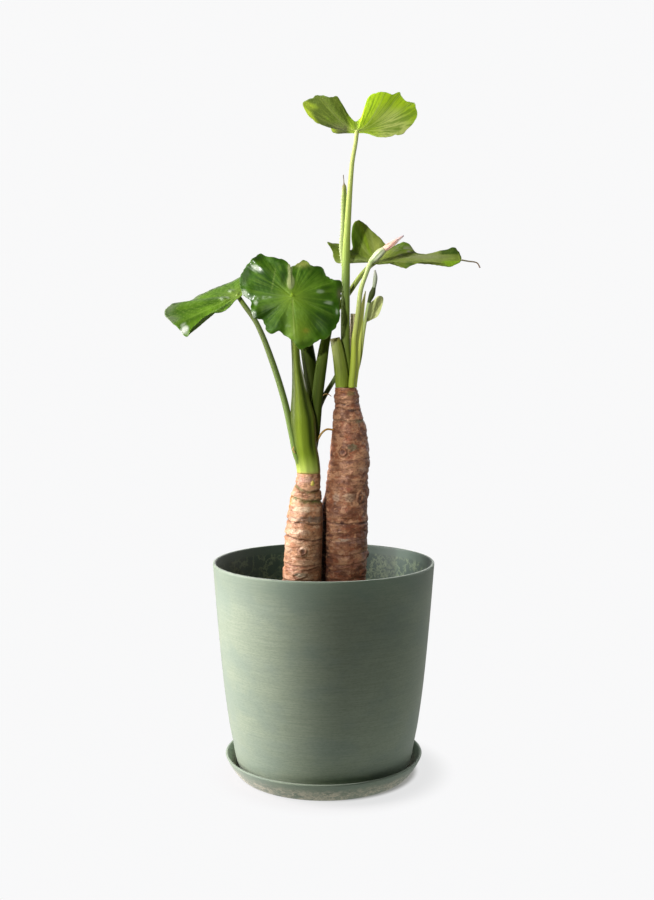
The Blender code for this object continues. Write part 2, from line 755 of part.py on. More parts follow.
def right_crown():
    """Stalks that rise from the right trunk, side by side round the top leaf's stalk."""
    top = add_piece("petiole_top", stem(TOP_PETIOLE, 16), (0.22, 0.36, 0.07), 0.4)
    trim(top, [leaf("leaf_top", GROWN)])

    sheath = add_piece("sheath_cut", stem(CUT_SHEATH, 6), (0.25, 0.3, 0.05), 0.45)
    trim(sheath, [grown(TOP_PETIOLE, 16)])

    greens = ((0.3, 0.45, 0.12), (0.35, 0.48, 0.2), (0.55, 0.2, 0.12))
    stalk = bloom("open", OPEN_BLOOM, OPEN_BLOOM_TUBE, OPEN_BLOOM_LIMB, (10, 6, 6), greens)
    trim(stalk, [grown(TOP_PETIOLE, 16), grown(CUT_SHEATH, 6)])

    bract = add_piece("bract_pointed", stem(POINTED_BRACT, 7, 8), (0.32, 0.36, 0.06), 0.45)
    open_stalk = grown(OPEN_BLOOM, 24, 8)
    trim(bract, [grown(TOP_PETIOLE, 16), open_stalk])

    greens = ((0.25, 0.36, 0.1), (0.07, 0.12, 0.04), (0.4, 0.45, 0.32))
    stalk = bloom("bud", BUD_BLOOM, BUD_BLOOM_TUBE, BUD_BLOOM_LIMB, (7, 5, 5), greens)
    trim(stalk, [grown(TOP_PETIOLE, 16), grown(POINTED_BRACT, 7, 8)])

    stub = add_piece("stub_dry", stem(DRY_STUB, 5, 8), (0.45, 0.38, 0.22), 0.7)
    trim(stub, [grown(TOP_PETIOLE, 16), grown(POINTED_BRACT, 7, 8), grown(BUD_BLOOM, 18, 8)])

    rolled = add_piece("leaf_rolled_top", stem(ROLLED_TOP, 12, 8), (0.35, 0.45, 0.1), 0.4)
    trim(rolled, [grown(TOP_PETIOLE, 16)])


clear_scene()
saucer()
pot()
soil()
trunks()
leaves()
left_crown()
right_crown()
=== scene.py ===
import math

import bpy
import numpy as np
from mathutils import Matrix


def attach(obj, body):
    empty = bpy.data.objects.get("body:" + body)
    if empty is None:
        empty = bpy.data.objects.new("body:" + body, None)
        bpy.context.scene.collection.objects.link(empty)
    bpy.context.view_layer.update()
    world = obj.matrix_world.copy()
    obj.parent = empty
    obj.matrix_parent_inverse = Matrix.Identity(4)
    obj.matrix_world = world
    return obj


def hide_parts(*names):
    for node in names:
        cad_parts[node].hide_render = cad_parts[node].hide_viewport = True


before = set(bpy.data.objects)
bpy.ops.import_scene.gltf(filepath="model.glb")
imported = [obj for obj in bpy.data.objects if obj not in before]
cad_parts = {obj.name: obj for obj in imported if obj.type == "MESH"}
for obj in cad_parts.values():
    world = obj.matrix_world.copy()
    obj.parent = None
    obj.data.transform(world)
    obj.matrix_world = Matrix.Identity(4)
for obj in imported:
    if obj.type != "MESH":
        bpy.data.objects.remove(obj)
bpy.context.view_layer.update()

# A night-scented lily in its pot: two ringed trunks with their crowns of leaves and two flower
# stalks, potted in a sage green planter on its saucer. The pieces follow in the order in which the
# plant was potted. Places and sizes are in millimetres and become metres in the meshes.
MM = 0.001


# Saucer and pot: cast from stone powder and resin in one sage green, then rubbed down on a turning
# wheel, which leaves fine level streaks. The pot stands loose on the saucer.
class Value:
    """A socket of a node tree. Sums and products of values add the tree's own Math nodes."""

    def __init__(self, nodes, socket):
        self.nodes = nodes
        self.socket = socket

    def maths(self, operation, *terms):
        return self.nodes.node("ShaderNodeMath", {"operation": operation}, dict(enumerate(terms)))

    def __add__(self, other):
        return self.maths("ADD", self, other)

    def __sub__(self, other):
        return self.maths("SUBTRACT", self, other)

    def __rsub__(self, other):
        return self.maths("SUBTRACT", other, self)

    def __mul__(self, other):
        return self.maths("MULTIPLY", self, other)

    __radd__ = __add__

    def colour(self):
        """The same node's colour."""
        return Value(self.nodes, self.socket.node.outputs["Color"])

    def step(self, low, high):
        """0 below low, 1 above high, and a smooth rise between."""
        ends = {"Value": self, "From Min": low, "From Max": high}
        return self.nodes.node("ShaderNodeMapRange", {"interpolation_type": "SMOOTHSTEP"}, ends)


class Nodes:
    """A node tree, with one method that adds any node and short ones for the commonest."""

    def __init__(self, tree):
        self.tree = tree

    def node(self, kind, settings, inputs, out=0):
        made = self.tree.nodes.new(kind)
        for key, value in settings.items():
            setattr(made, key, value)
        for place, given in inputs.items():
            if isinstance(given, Value):
                self.tree.links.new(given.socket, made.inputs[place])
            else:
                made.inputs[place].default_value = given
        return Value(self, made.outputs[out])

    def vector(self, operation, *terms, out=0):
        return self.node("ShaderNodeVectorMath", {"operation": operation}, dict(enumerate(terms)), out)


class Finish(Nodes):
    """A material whose shader keeps its constants and takes worked-out values where they vary."""

    def __init__(self, name, **constants):
        self.material = bpy.data.materials.new(name)
        self.material.use_nodes = True
        super().__init__(self.material.node_tree)
        self.shader = self.tree.nodes["Principled BSDF"]
        for socket, value in constants.items():
            self.shader.inputs[socket.replace("_", " ")].default_value = value

    def place(self, stretch=(1, 1, 1)):
        """Object coordinates in metres, stretched along each axis."""
        return self.vector("MULTIPLY", self.node("ShaderNodeTexCoord", {}, {}, "Object"), stretch)

    def kept(self, label, out="Fac"):
        """A value that the piece keeps on its points."""
        return self.node("ShaderNodeAttribute", {"attribute_name": label}, {}, out)

    def noise(self, vector, scale, detail=3.0, roughness=0.55):
        settings = {"Vector": vector, "Scale": scale, "Detail": detail, "Roughness": roughness}
        return self.node("ShaderNodeTexNoise", {}, settings)

    def mix(self, share, first, second):
        """One colour laid over another."""
        under, over = [(*c, 1.0) if isinstance(c, tuple) else c for c in (first, second)]
        return self.node("ShaderNodeMix", {"data_type": "RGBA"}, {0: share, 6: under, 7: over}, 2)

    def bump(self, height, depth, strength=1.0):
        return self.node("ShaderNodeBump", {}, {"Height": height, "Distance": depth, "Strength": strength})

    def wear(self, **values):
        for socket, value in values.items():
            self.tree.links.new(value.socket, self.shader.inputs[socket.replace("_", " ")])

    def glow(self, colour, strength):
        """A painted glow: the piece gives off light in its own colour, in place of light coming through it.
        """
        if strength:
            self.shader.inputs["Emission Strength"].default_value = strength
            self.wear(Emission_Color=colour)


def rolled(name, around, along, form, material, node):
    """A grid rolled into a closed body, whose two ends close to a point. form takes each point's
    turn (0 to a full circle) and row (0 to along), and gives its place and named values to keep."""
    bpy.ops.object.select_all(action="DESELECT")
    bpy.ops.mesh.primitive_grid_add(x_subdivisions=around, y_subdivisions=along, size=2)
    piece = bpy.context.active_object
    piece.name = piece.data.name = name
    flat = np.empty(3 * len(piece.data.vertices))
    piece.data.vertices.foreach_get("co", flat)
    x, y, _ = flat.reshape(-1, 3).T
    column = np.rint((x + 1) / 2 * around).astype(int) % around
    row = np.rint((y + 1) / 2 * along).astype(int)
    places, kept = form(math.tau * column / around, row)
    piece.data.vertices.foreach_set("co", (places * MM).ravel())
    for label, values in kept.items():
        kind, field = ("FLOAT", "value") if values.ndim == 1 else ("FLOAT_VECTOR", "vector")
        layer = piece.data.attributes.new(label, kind, "POINT")
        layer.data.foreach_set(field, values.ravel())
    bpy.ops.object.mode_set(mode="EDIT")
    bpy.ops.mesh.select_all(action="SELECT")
    bpy.ops.mesh.remove_doubles(threshold=1e-7)
    bpy.ops.mesh.normals_make_consistent(inside=False)
    bpy.ops.object.mode_set(mode="OBJECT")
    bpy.ops.object.shade_smooth()
    piece.data.materials.append(material)
    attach(piece, "root")
    if node:
        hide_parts(node)
    return piece


def through(places, values, at):
    """Values at several places, on a smooth curve through the given ones."""
    i = np.clip(np.searchsorted(places, at) - 1, 0, len(places) - 2)
    before = np.maximum(np.arange(len(places)) - 1, 0)
    after = np.minimum(np.arange(len(places)) + 1, len(places) - 1)
    slopes = (values[after] - values[before]) / (places[after] - places[before])[:, None]
    span = places[i + 1] - places[i]
    s = np.clip((at - places[i]) / span, 0, 1)[:, None]
    span = span[:, None]
    return (
        (2 * s**3 - 3 * s**2 + 1) * values[i]
        + (s**3 - 2 * s**2 + s) * span * slopes[i]
        + (3 * s**2 - 2 * s**3) * values[i + 1]
        + (s**3 - s**2) * span * slopes[i + 1]
    )


def stone_finish(name, rim=None):
    """Rubbed stone resin. With a rim's height, in metres, it is the pot's: marbled inside up to a plain
    band, with the whole inside painted far darker as painted shade, and painted darker below the rim
    as painted shade. Without one it is the saucer's, flecked low on its wall."""
    stone = Finish(name, Roughness=0.55, Specular_IOR_Level=0.4, Sheen_Weight=0.2, Sheen_Roughness=0.5)
    place = stone.place()
    fine = stone.noise(stone.place((30, 30, 1300)), 1.0, 5.0, 0.7)
    streak = stone.noise(stone.place((9, 9, 520)), 1.0, 4.0, 0.6)
    haze = stone.noise(stone.place((16, 16, 24)), 1.0, 3.0)
    rubbed = fine * 0.8 + streak * 0.2
    colour = stone.mix(rubbed.step(0.36, 0.66), (0.24, 0.312, 0.21), (0.318, 0.386, 0.268))
    colour = stone.mix(haze.step(0.42, 0.66) * 0.5, colour, (0.205, 0.285, 0.222))
    mottle = stone.noise(stone.place((260, 260, 800)), 1.0, 4.0, 0.65)
    colour = stone.mix(mottle.step(0.46, 0.62) * 0.35, colour, (0.17, 0.235, 0.165))
    marble = stone.noise(stone.place((38, 38, 30)), 1.0, 7.0, 0.72)
    height = stone.node("ShaderNodeSeparateXYZ", {}, {0: place}, "Z")
    if rim:
        flat = stone.vector("MULTIPLY", place, (1, 1, 0))
        faces = stone.node("ShaderNodeTexCoord", {}, {}, "Normal")
        looks_out = stone.vector("DOT_PRODUCT", flat, faces, out="Value")
        # Painted shade: the stone is painted darker just below the rim
        colour = stone.mix(height.step(rim - 0.045, rim - 0.008) * 0.5, colour, (0.14, 0.2, 0.142))
        # Painted shade: the inside, its plain band and its marbling are painted far darker than the outside
        inside = 1.0 - looks_out.step(-0.06, -0.02)
        below = 1.0 - height.step(rim - 0.013, rim - 0.009)
        plain = stone.mix(inside, colour, (0.034, 0.062, 0.041))
        dark = stone.mix(marble.step(0.44, 0.6) * 0.8, (0.02, 0.044, 0.028), (0.012, 0.034, 0.021))
        off = stone.noise(stone.place((75, 75, 75)), 1.0, 6.0, 0.68) - 0.5
        veins = 1.0 - (off * off).step(0.0, 0.0022)
        lights = stone.mix(veins * 0.7 * marble.step(0.35, 0.55), dark, (0.125, 0.17, 0.09))
        colour = stone.mix(inside * below * 0.9, plain, lights)
    else:
        colour = stone.mix(0.3, colour, (0.12, 0.175, 0.125))
        low = 1.0 - height.step(0.01, 0.021)
        clouds = marble.step(0.38, 0.52)
        off = stone.noise(stone.place((70, 70, 210)), 1.0, 6.0, 0.7) - 0.5
        flecks = 1.0 - (off * off).step(0.0, 0.0035)
        dark = stone.noise(stone.place((80, 80, 120)), 1.0, 5.0, 0.7).step(0.5, 0.6)
        colour = stone.mix(low * dark * 0.6, colour, (0.11, 0.16, 0.11))
        colour = stone.mix(low * clouds * 0.4, colour, (0.36, 0.37, 0.26))
        colour = stone.mix(low * flecks * clouds * 0.9, colour, (0.6, 0.57, 0.41))
    pores = stone.noise(stone.place((900, 900, 2200)), 1.0, 3.0)
    grain = stone.bump(rubbed * 0.5 + pores * 0.5, 0.0003, 0.35)
    stone.wear(Base_Color=colour, Normal=grain, Roughness=0.46 + rubbed * 0.2)
    return stone.material


def turned(name, profile, material, node):
    """A body turned from a (radius, height) outline, smooth along it and with 256 sides."""
    profile = np.array(profile, float)
    lengths = np.concatenate([[0], np.cumsum(np.hypot(*np.diff(profile, axis=0).T))])
    at = np.unique(np.round(np.concatenate([lengths, np.arange(0, lengths[-1], 7.0)]), 4))
    line = through(lengths, profile, at)

    def form(turn, row):
        radius, height = line[row].T
        return np.column_stack([np.cos(turn) * radius, np.sin(turn) * radius, height]), {}

    return rolled(name, 256, len(at) - 1, form, material, node)


SAUCER_OUTLINE = [
    (0, 0), (102, 0), (103, 0), (107.6, 2.2), (113.6, 9.5), (118.6, 17.5), (122, 24.6), (121.2, 25.4),
    (119.6, 25.4), (118.8, 24.5), (115.4, 18), (110.6, 10.5), (105, 4.4), (100.4, 3), (99.4, 3), (0, 3),
]
turned("saucer_turned", SAUCER_OUTLINE, stone_finish("saucer_stone"), "saucer")

POT_OUTLINE = [
    (11, 3.3), (94, 3.3), (96, 3.3), (103, 7), (108.5, 18), (112.9, 41), (117.5, 66), (124, 117),
    (130.8, 192), (135.8, 259), (136, 262.8), (135.3, 263.6), (133.2, 263.6), (132.5, 262.8),
    (132.3, 259), (127.3, 192), (120.5, 117), (114, 66), (109.4, 41), (105, 18), (100, 11.5), (92, 8.3),
    (90, 8.3), (12, 8.3), (11, 8.0), (11, 3.6), (11, 3.3),
]
turned("pot_turned", POT_OUTLINE, stone_finish("pot_stone", 0.2636), "pot")


# Soil: potting mix of bark, peat and pumice, filled round the roots and pressed down well below
# the rim. Loose crumbs of bark and pumice lie on it.
soil = Finish("soil_mix", Roughness=0.95, Specular_IOR_Level=0.2)
clods = soil.noise(soil.place(), 260, 5.0, 0.7)
bark = soil.noise(soil.place(), 90, 3.0, 0.6)
soil_colour = soil.mix(clods.step(0.35, 0.7), (0.012, 0.008, 0.005), (0.07, 0.042, 0.024))
soil_colour = soil.mix(bark.step(0.55, 0.7) * 0.6, soil_colour, (0.11, 0.065, 0.035))
soil.wear(Base_Color=soil_colour, Normal=soil.bump(clods + bark * 0.8, 0.004))
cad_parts["soil"].material_slots[0].material = soil.material

TRUNK_FEET = ((-27.5, -10.0, 27.0), (25.0, 14.0, 31.0))
CRUMBS = 420
CRUMBS_REACH = 122
SOIL_PROFILE = ((0, 66, 108, 127), (205.0, 203.4, 200.2, 197.0))
draw = np.random.default_rng(11)
bits = []
while len(bits) < CRUMBS:
    reach = CRUMBS_REACH * math.sqrt(draw.random())
    way = math.tau * draw.random()
    x, y = reach * math.cos(way), reach * math.sin(way)
    if any(math.hypot(x - fx, y - fy) < fr for fx, fy, fr in TRUNK_FEET):
        continue
    top = np.interp(reach, *SOIL_PROFILE)
    bits.append((x, y, top + 0.4, draw.uniform(1.2, 3.6)))
crumb_finish = Finish("soil_crumb", Roughness=0.9, Specular_IOR_Level=0.2)
crumb_grain = crumb_finish.noise(crumb_finish.place(), 45, 2.0)
crumb_fleck = crumb_finish.noise(crumb_finish.place(), 420, 3.0)
crumb_colour = crumb_finish.mix(crumb_grain.step(0.5, 0.6), (0.035, 0.02, 0.012), (0.16, 0.1, 0.055))
crumb_colour = crumb_finish.mix(crumb_grain.step(0.62, 0.68), crumb_colour, (0.42, 0.38, 0.3))
crumb_finish.wear(
    Base_Color=crumb_finish.mix(crumb_fleck.step(0.4, 0.7) * 0.5, crumb_colour, (0.05, 0.03, 0.02)),
    Normal=crumb_finish.bump(crumb_fleck, 0.0006),
)
bpy.ops.object.select_all(action="DESELECT")
bpy.ops.mesh.primitive_ico_sphere_add(subdivisions=1, radius=1)
pattern = bpy.context.active_object
corners = np.array([v.co[:] for v in pattern.data.vertices])
sides = [tuple(f.vertices) for f in pattern.data.polygons]
bpy.data.objects.remove(pattern)
all_corners = []
all_sides = []
for x, y, z, size in bits:
    flat = draw.uniform(0.45, 0.8, 3)
    rough = corners * (1 + 0.3 * draw.standard_normal((len(corners), 1))) * flat * size
    all_sides += [tuple(i + len(all_corners) for i in side) for side in sides]
    all_corners += [tuple((spot + (x, y, z)) * MM) for spot in rough]
crumbs_mesh = bpy.data.meshes.new("soil_crumbs")
crumbs_mesh.from_pydata(all_corners, [], all_sides)
crumbs = bpy.data.objects.new("soil_crumbs", crumbs_mesh)
bpy.context.scene.collection.objects.link(crumbs)
crumbs_mesh.materials.append(crumb_finish.material)
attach(crumbs, "root")


# Trunks: fleshy rhizomes with a corky skin. Each old leaf left a ring-shaped scar and some left a
# sleeping bud, seen as an eye. Both stand in the soil, the left one in front of the right one.
def unit_noise(places, seed):
    """Smooth random values from -1 to 1, with one bump to a unit, on points that are given in units."""
    low = np.floor(places)
    part = places - low
    part = part * part * (3 - 2 * part)
    total = np.zeros(len(places))
    for corner in np.ndindex(2, 2, 2):
        corner = np.array(corner)
        drawn = np.sin((low + corner) @ (127.1, 311.7, 74.7) + seed * 17.31) * 43758.5453
        share = np.prod(np.where(corner == 1, part, 1 - part), axis=1)
        total += share * (drawn - np.floor(drawn))
    return 2 * total - 1


def mixed(under, over, mask):
    """Paint laid over paint as far as the mask goes."""
    return under + (np.asarray(over) - under) * np.clip(mask, 0, 1)[:, None]


def layered(paint, *layers):
    """Paint with (colour, mask) layers laid over it in turn."""
    for colour, mask in layers:
        paint = mixed(paint, colour, mask)
    return paint


def rise(values, low, high):
    """0 below low, 1 above high, smooth between."""
    s = np.clip((values - low) / (high - low), 0, 1)
    return s * s * (3 - 2 * s)


def bell(values, width):
    """1 at zero, fading to both sides."""
    return np.exp(-((values / width) ** 2))


def bark_finish(name, ink, light):
    """Corky skin: the painted rings and eyes, under level wrinkles, fine cracks, flakes and specks."""
    bark = Finish(name, Roughness=0.5, Specular_IOR_Level=0.35)
    paint = bark.kept("paint", "Vector")
    wrinkles = bark.noise(bark.place((90, 90, 150)), 1.0, 5.0, 0.6)
    specks = bark.noise(bark.place((480, 480, 620)), 1.0, 5.0, 0.7)
    patches = bark.noise(bark.place((70, 70, 95)), 1.0, 6.0, 0.64)
    warp = bark.vector("MULTIPLY", patches.colour(), (0.012, 0.012, 0.006))
    bent = bark.vector("MULTIPLY", bark.vector("ADD", bark.place(), warp), (1, 1, 1.7))
    cells = {"feature": "DISTANCE_TO_EDGE"}
    crackle = bark.node("ShaderNodeTexVoronoi", cells, {"Vector": bent, "Scale": 175.0}, "Distance")
    cracks = 1.0 - crackle.step(0.0, 0.11)
    colour = bark.mix(wrinkles.step(0.56, 0.64) * 0.35, paint, ink)
    colour = bark.mix((1.0 - wrinkles.step(0.36, 0.44)) * 0.35, colour, light)
    colour = bark.mix(patches.step(0.54, 0.59) * 0.6, colour, ink)
    colour = bark.mix((1.0 - patches.step(0.39, 0.44)) * 0.7, colour, light)
    colour = bark.mix(cracks * specks.step(0.42, 0.58) * 0.6, colour, ink)
    colour = bark.mix(specks.step(0.58, 0.72) * 0.3, colour, ink)
    height = wrinkles * 0.5 + specks * 0.2 + patches * 0.8 - cracks * 0.2
    bark.wear(Base_Color=colour, Normal=bark.bump(height, 0.0014, 0.8), Roughness=0.3 + specks * 0.4)
    return bark.material


def trunk(name, spine, rings, eyes, stains_and_shade, tones, groove, sides, rows):
    """rings: (line of (angle, height), groove depth, lip, ink colour, ink width, pale lip).
    eyes: (angle, height, half-width, half-height, rise). stains: (angle, height, wide, high, colour,
    strength). tones: the skin's own colour, its pale, dark and red ones."""
    spine = np.array(spine, float)
    foot, top = spine[0, 0], spine[-1, 0]
    # All but the first two rows lie above this height, just under the soil's surface
    buried = 196
    own, light, ink, red = tones

    def form(turn, row):
        height = np.where(row < 2, foot, buried + (top - buried) * (row - 2) / (rows - 3))
        height = np.minimum(np.where(row == 0, foot, height), top)
        where = through(spine[:, 0], spine[:, 1:], height)
        degrees = np.degrees(turn)
        degrees = np.where(degrees > 90, degrees - 360, degrees)
        radius = where[:, 2]
        ring_way = np.stack([np.cos(turn), np.sin(turn)], axis=1)
        smooth = np.column_stack([ring_way * radius[:, None], height])

        def away_from(degree, at, wide, high):
            """How far a point lies from a place on the bark, with 1 at the edge of its oval."""
            apart = radius * np.radians((degrees - degree + 180) % 360 - 180)
            return np.hypot(apart / wide, (height - at) / high)

        relief = 1.2 * unit_noise(smooth / (16, 16, 12), 5) + 0.7 * unit_noise(smooth / (7, 7, 5), 6)
        relief += 0.35 * unit_noise(smooth / (3.6, 3.6, 2.4), 7)
        cracks = rise(0.16 - abs(unit_noise(smooth / (9, 9, 2.6), 13)), 0, 0.16)
        cracks *= rise(unit_noise(smooth / (12, 12, 8), 14), -0.3, 0.4)
        relief -= 0.5 * cracks
        warped = smooth + 3.0 * np.column_stack([unit_noise(smooth / (5, 5, 4), 17 + i) for i in range(3)])
        flakes = unit_noise(warped / (12, 12, 8), 8) + 0.5 * unit_noise(warped / (4.5, 4.5, 3), 15)
        redden = unit_noise(warped / (10, 10, 7), 9) + rise(300 - height, 0, 70) * 0.6
        paint = layered(
            np.zeros((len(row), 3)) + own,
            (light, rise(flakes, -0.1, 0.35) * 0.75),
            (ink, rise(-flakes, 0.35, 0.8) * 0.45),
            (red, rise(redden, 0.1, 0.6) * 0.7),
            (ink, cracks * 0.55),
            # Painted shade in the bark's hollows and painted light on its swellings
            (ink, rise(-relief, 0.6, 1.8) * 0.6),
            (light, rise(relief, 0.5, 1.6) * 0.5),
        )
        for number, (line, depth, lip, line_ink, wide, pale) in enumerate(rings):
            line = np.array(line, float)
            at = np.interp(degrees, line[:, 0], line[:, 1], period=360)
            wobble = unit_noise(smooth / (13, 13, 60), 20 + number) * 1.2
            wobble += unit_noise(smooth / (4.5, 4.5, 60), 50 + number) * 0.7
            off = height - at - wobble
            strength = np.clip(0.75 + 0.5 * unit_noise(smooth / (9, 9, 60), 80 + number), 0.15, 1.2)
            relief -= groove * depth * bell(off, 2.6)
            relief -= groove * depth * bell(off, 0.85) * strength
            relief += groove * lip * bell(off - 2.3, 1.4) * strength
            relief += 0.5 * groove * lip * bell(off + 3.2, 1.8)
            paint = layered(
                paint,
                (light, pale * strength * bell(off - 1.9, 1.0)),
                # Painted shade: a dark band just below each ring's groove
                (ink, 0.5 * strength * bell(off + 1.4, 1.8)),
                (line_ink, strength**0.5 * bell(off, wide) * rise(groove * depth, 0.1, 0.6)),
            )
        for degree, at, wide, high, rises in eyes:
            away = away_from(degree, at, wide, high) * (1 + 0.12 * unit_noise(smooth / (3, 3, 3), 16))
            relief += rises * bell(away, 1) - 0.9 * rises * bell(away, 0.45)
            relief += 0.5 * np.cos(away * 7.0) * bell(away, 1.5)
            hollow = np.exp(-((away / 0.52) ** 4))
            paint = layered(
                paint,
                (light, 0.8 * bell(away - 1.3, 0.2)),
                (ink, 0.8 * bell(away - 0.9, 0.16)),
                ((0.06, 0.022, 0.014), 0.95 * hollow),
            )
        # Stains, and on the right trunk a painted shadow, laid on the skin
        for degree, at, wide, high, colour, strength in stains_and_shade:
            ragged = away_from(degree, at, wide, high) + 0.4 * unit_noise(smooth / (3.5, 3.5, 1.8), 12)
            paint = mixed(paint, colour, strength * (1 - rise(ragged, 0.6, 1.1)))
        worn = np.clip(relief, -2.8, 2.6) * rise(top - height, -1, 3)
        # The skin is kept even where the two trunks face each other
        facing = bell(where[:, 0] + smooth[:, 0] + 3, 5) * rise(345 - height, 0, 20)
        worn += facing * (0.9 - worn)
        reach = (radius + worn) * np.clip(row, 0, 1) * np.clip(rows - row, 0, 1)
        places = np.column_stack([where[:, :2] + ring_way * reach[:, None], height])
        return places, {"paint": paint}

    return rolled(name + "_skin", sides, rows, form, bark_finish(name + "_bark", ink, light), name)


def level(height, tilt=0.0, turn=0.0):
    """A ring scar's line round the trunk, tilted a little."""
    return [(a, height + tilt * math.sin(math.radians(a + turn))) for a in range(-180, 180, 45)]


DARK_LINE = (0.085, 0.04, 0.022)
RUST = (0.33, 0.13, 0.05)
GREEN_LINE = (0.05, 0.095, 0.015)
LEFT_RINGS = [
    ([(-175, 360), (-150, 357.5), (-110, 353.5), (-74, 351.5), (-20, 352.5), (60, 356)],
     1.2, 0.9, GREEN_LINE, 1.9, 0.7),
    ([(-171, 352.7), (-130, 349), (-102, 346.5), (-85, 348), (-72, 350.5), (-20, 354), (90, 352)],
     0.5, 0.3, RUST, 0.7, 0.5),
    ([(-172, 346), (-140, 343.5), (-81, 340.6), (-13, 338.4), (90, 343)], 1.2, 0.9, GREEN_LINE, 2.7, 0.6),
    (level(328, 1.0), 0.35, 0.3, RUST, 0.5, 0.6),
    ([(-175, 316.5), (-150, 315.4), (-87, 314.4), (-63, 312.2), (-10, 312), (90, 315)],
     1.2, 0.9, DARK_LINE, 1.0, 0.5),
    ([(-172, 299), (-148, 298.2), (-100, 294.9), (-41, 292.5), (40, 294), (120, 298)],
     1.2, 0.9, DARK_LINE, 1.0, 0.6),
    (level(286, 1.4, 60), 0.4, 0.3, RUST, 0.6, 0.4),
    (level(271, -1.2), 0.4, 0.3, RUST, 0.5, 0.4),
    ([(-156, 264.3), (-120, 262), (-86, 261), (-50, 261.6), (-19, 262.4), (90, 264)],
     0.9, 0.6, (0.16, 0.06, 0.03), 0.8, 0.5),
    ([(-150, 259.5), (-100, 257.4), (-71, 257.2), (-20, 259.4), (90, 258)],
     0.7, 0.4, (0.18, 0.07, 0.035), 0.6, 0.4),
    (level(244, 1.2, 40), 0.8, 0.6, DARK_LINE, 0.8, 0.4),
    (level(235, -1.0), 0.8, 0.6, DARK_LINE, 0.8, 0.3),
    (level(225, 1.5, 80), 0.8, 0.5, DARK_LINE, 0.8, 0.3),
    (level(214, 1.0, 20), 0.8, 0.5, DARK_LINE, 0.8, 0.3),
    (level(205, 1.0, 120), 0.8, 0.5, DARK_LINE, 0.8, 0.2),
]
LEFT_EYES = [
    (-88, 280.5, 4.6, 4.4, 2.4), (-96, 251.3, 8.0, 4.4, 1.6), (-4, 256, 5, 4, 1.8), (80, 300, 5, 4, 1.8),
    (20, 232, 5, 4, 1.6),
]
PALE_CORK = (0.6, 0.46, 0.3)
LEFT_STAINS = [
    (-60, 318.5, 26, 4.2, (0.12, 0.1, 0.075), 0.75), (-140, 318.8, 10, 3.2, (0.2, 0.15, 0.1), 0.6),
    (-120, 304.5, 11, 3.4, (0.6, 0.45, 0.3), 0.8), (-88, 303.5, 10, 3.4, (0.58, 0.4, 0.25), 0.7),
    (-86, 267, 10, 2.6, (0.5, 0.3, 0.17), 0.6), (-105, 331, 14, 5.0, PALE_CORK, 0.7),
    (-100, 366, 14, 3.5, (0.42, 0.24, 0.17), 0.8), (-160, 341, 5, 7, (0.62, 0.3, 0.1), 0.8),
    (-150, 350, 8, 2.2, (0.55, 0.4, 0.27), 0.7), (-91, 251.5, 8.5, 3.6, (0.62, 0.5, 0.33), 0.75),
    (-88, 284, 4.5, 1.8, (0.58, 0.43, 0.3), 0.8), (-88, 278, 2.6, 2.8, (0.12, 0.05, 0.028), 0.9),
    (-30, 275, 12, 8, (0.22, 0.1, 0.055), 0.6), (-150, 282, 10, 8, (0.52, 0.4, 0.25), 0.4),
]
LEFT_SPINE = [
    (140, -27.5, -10, 22.2), (200, -27.5, -10, 23.0), (241, -27.2, -10, 23.4), (266, -26, -10, 22.9),
    (290, -25, -10, 22.3), (312, -23.6, -10, 21.6), (340, -21.8, -10, 19.0), (362, -19.4, -10, 15.6),
    (373, -18.4, -10, 14.4),
]
LEFT_TONES = ((0.46, 0.235, 0.115), (0.57, 0.355, 0.21), (0.18, 0.075, 0.032), (0.42, 0.165, 0.07))
trunk("trunk_left", LEFT_SPINE, LEFT_RINGS, LEFT_EYES, LEFT_STAINS, LEFT_TONES, 0.85, 180, 300)

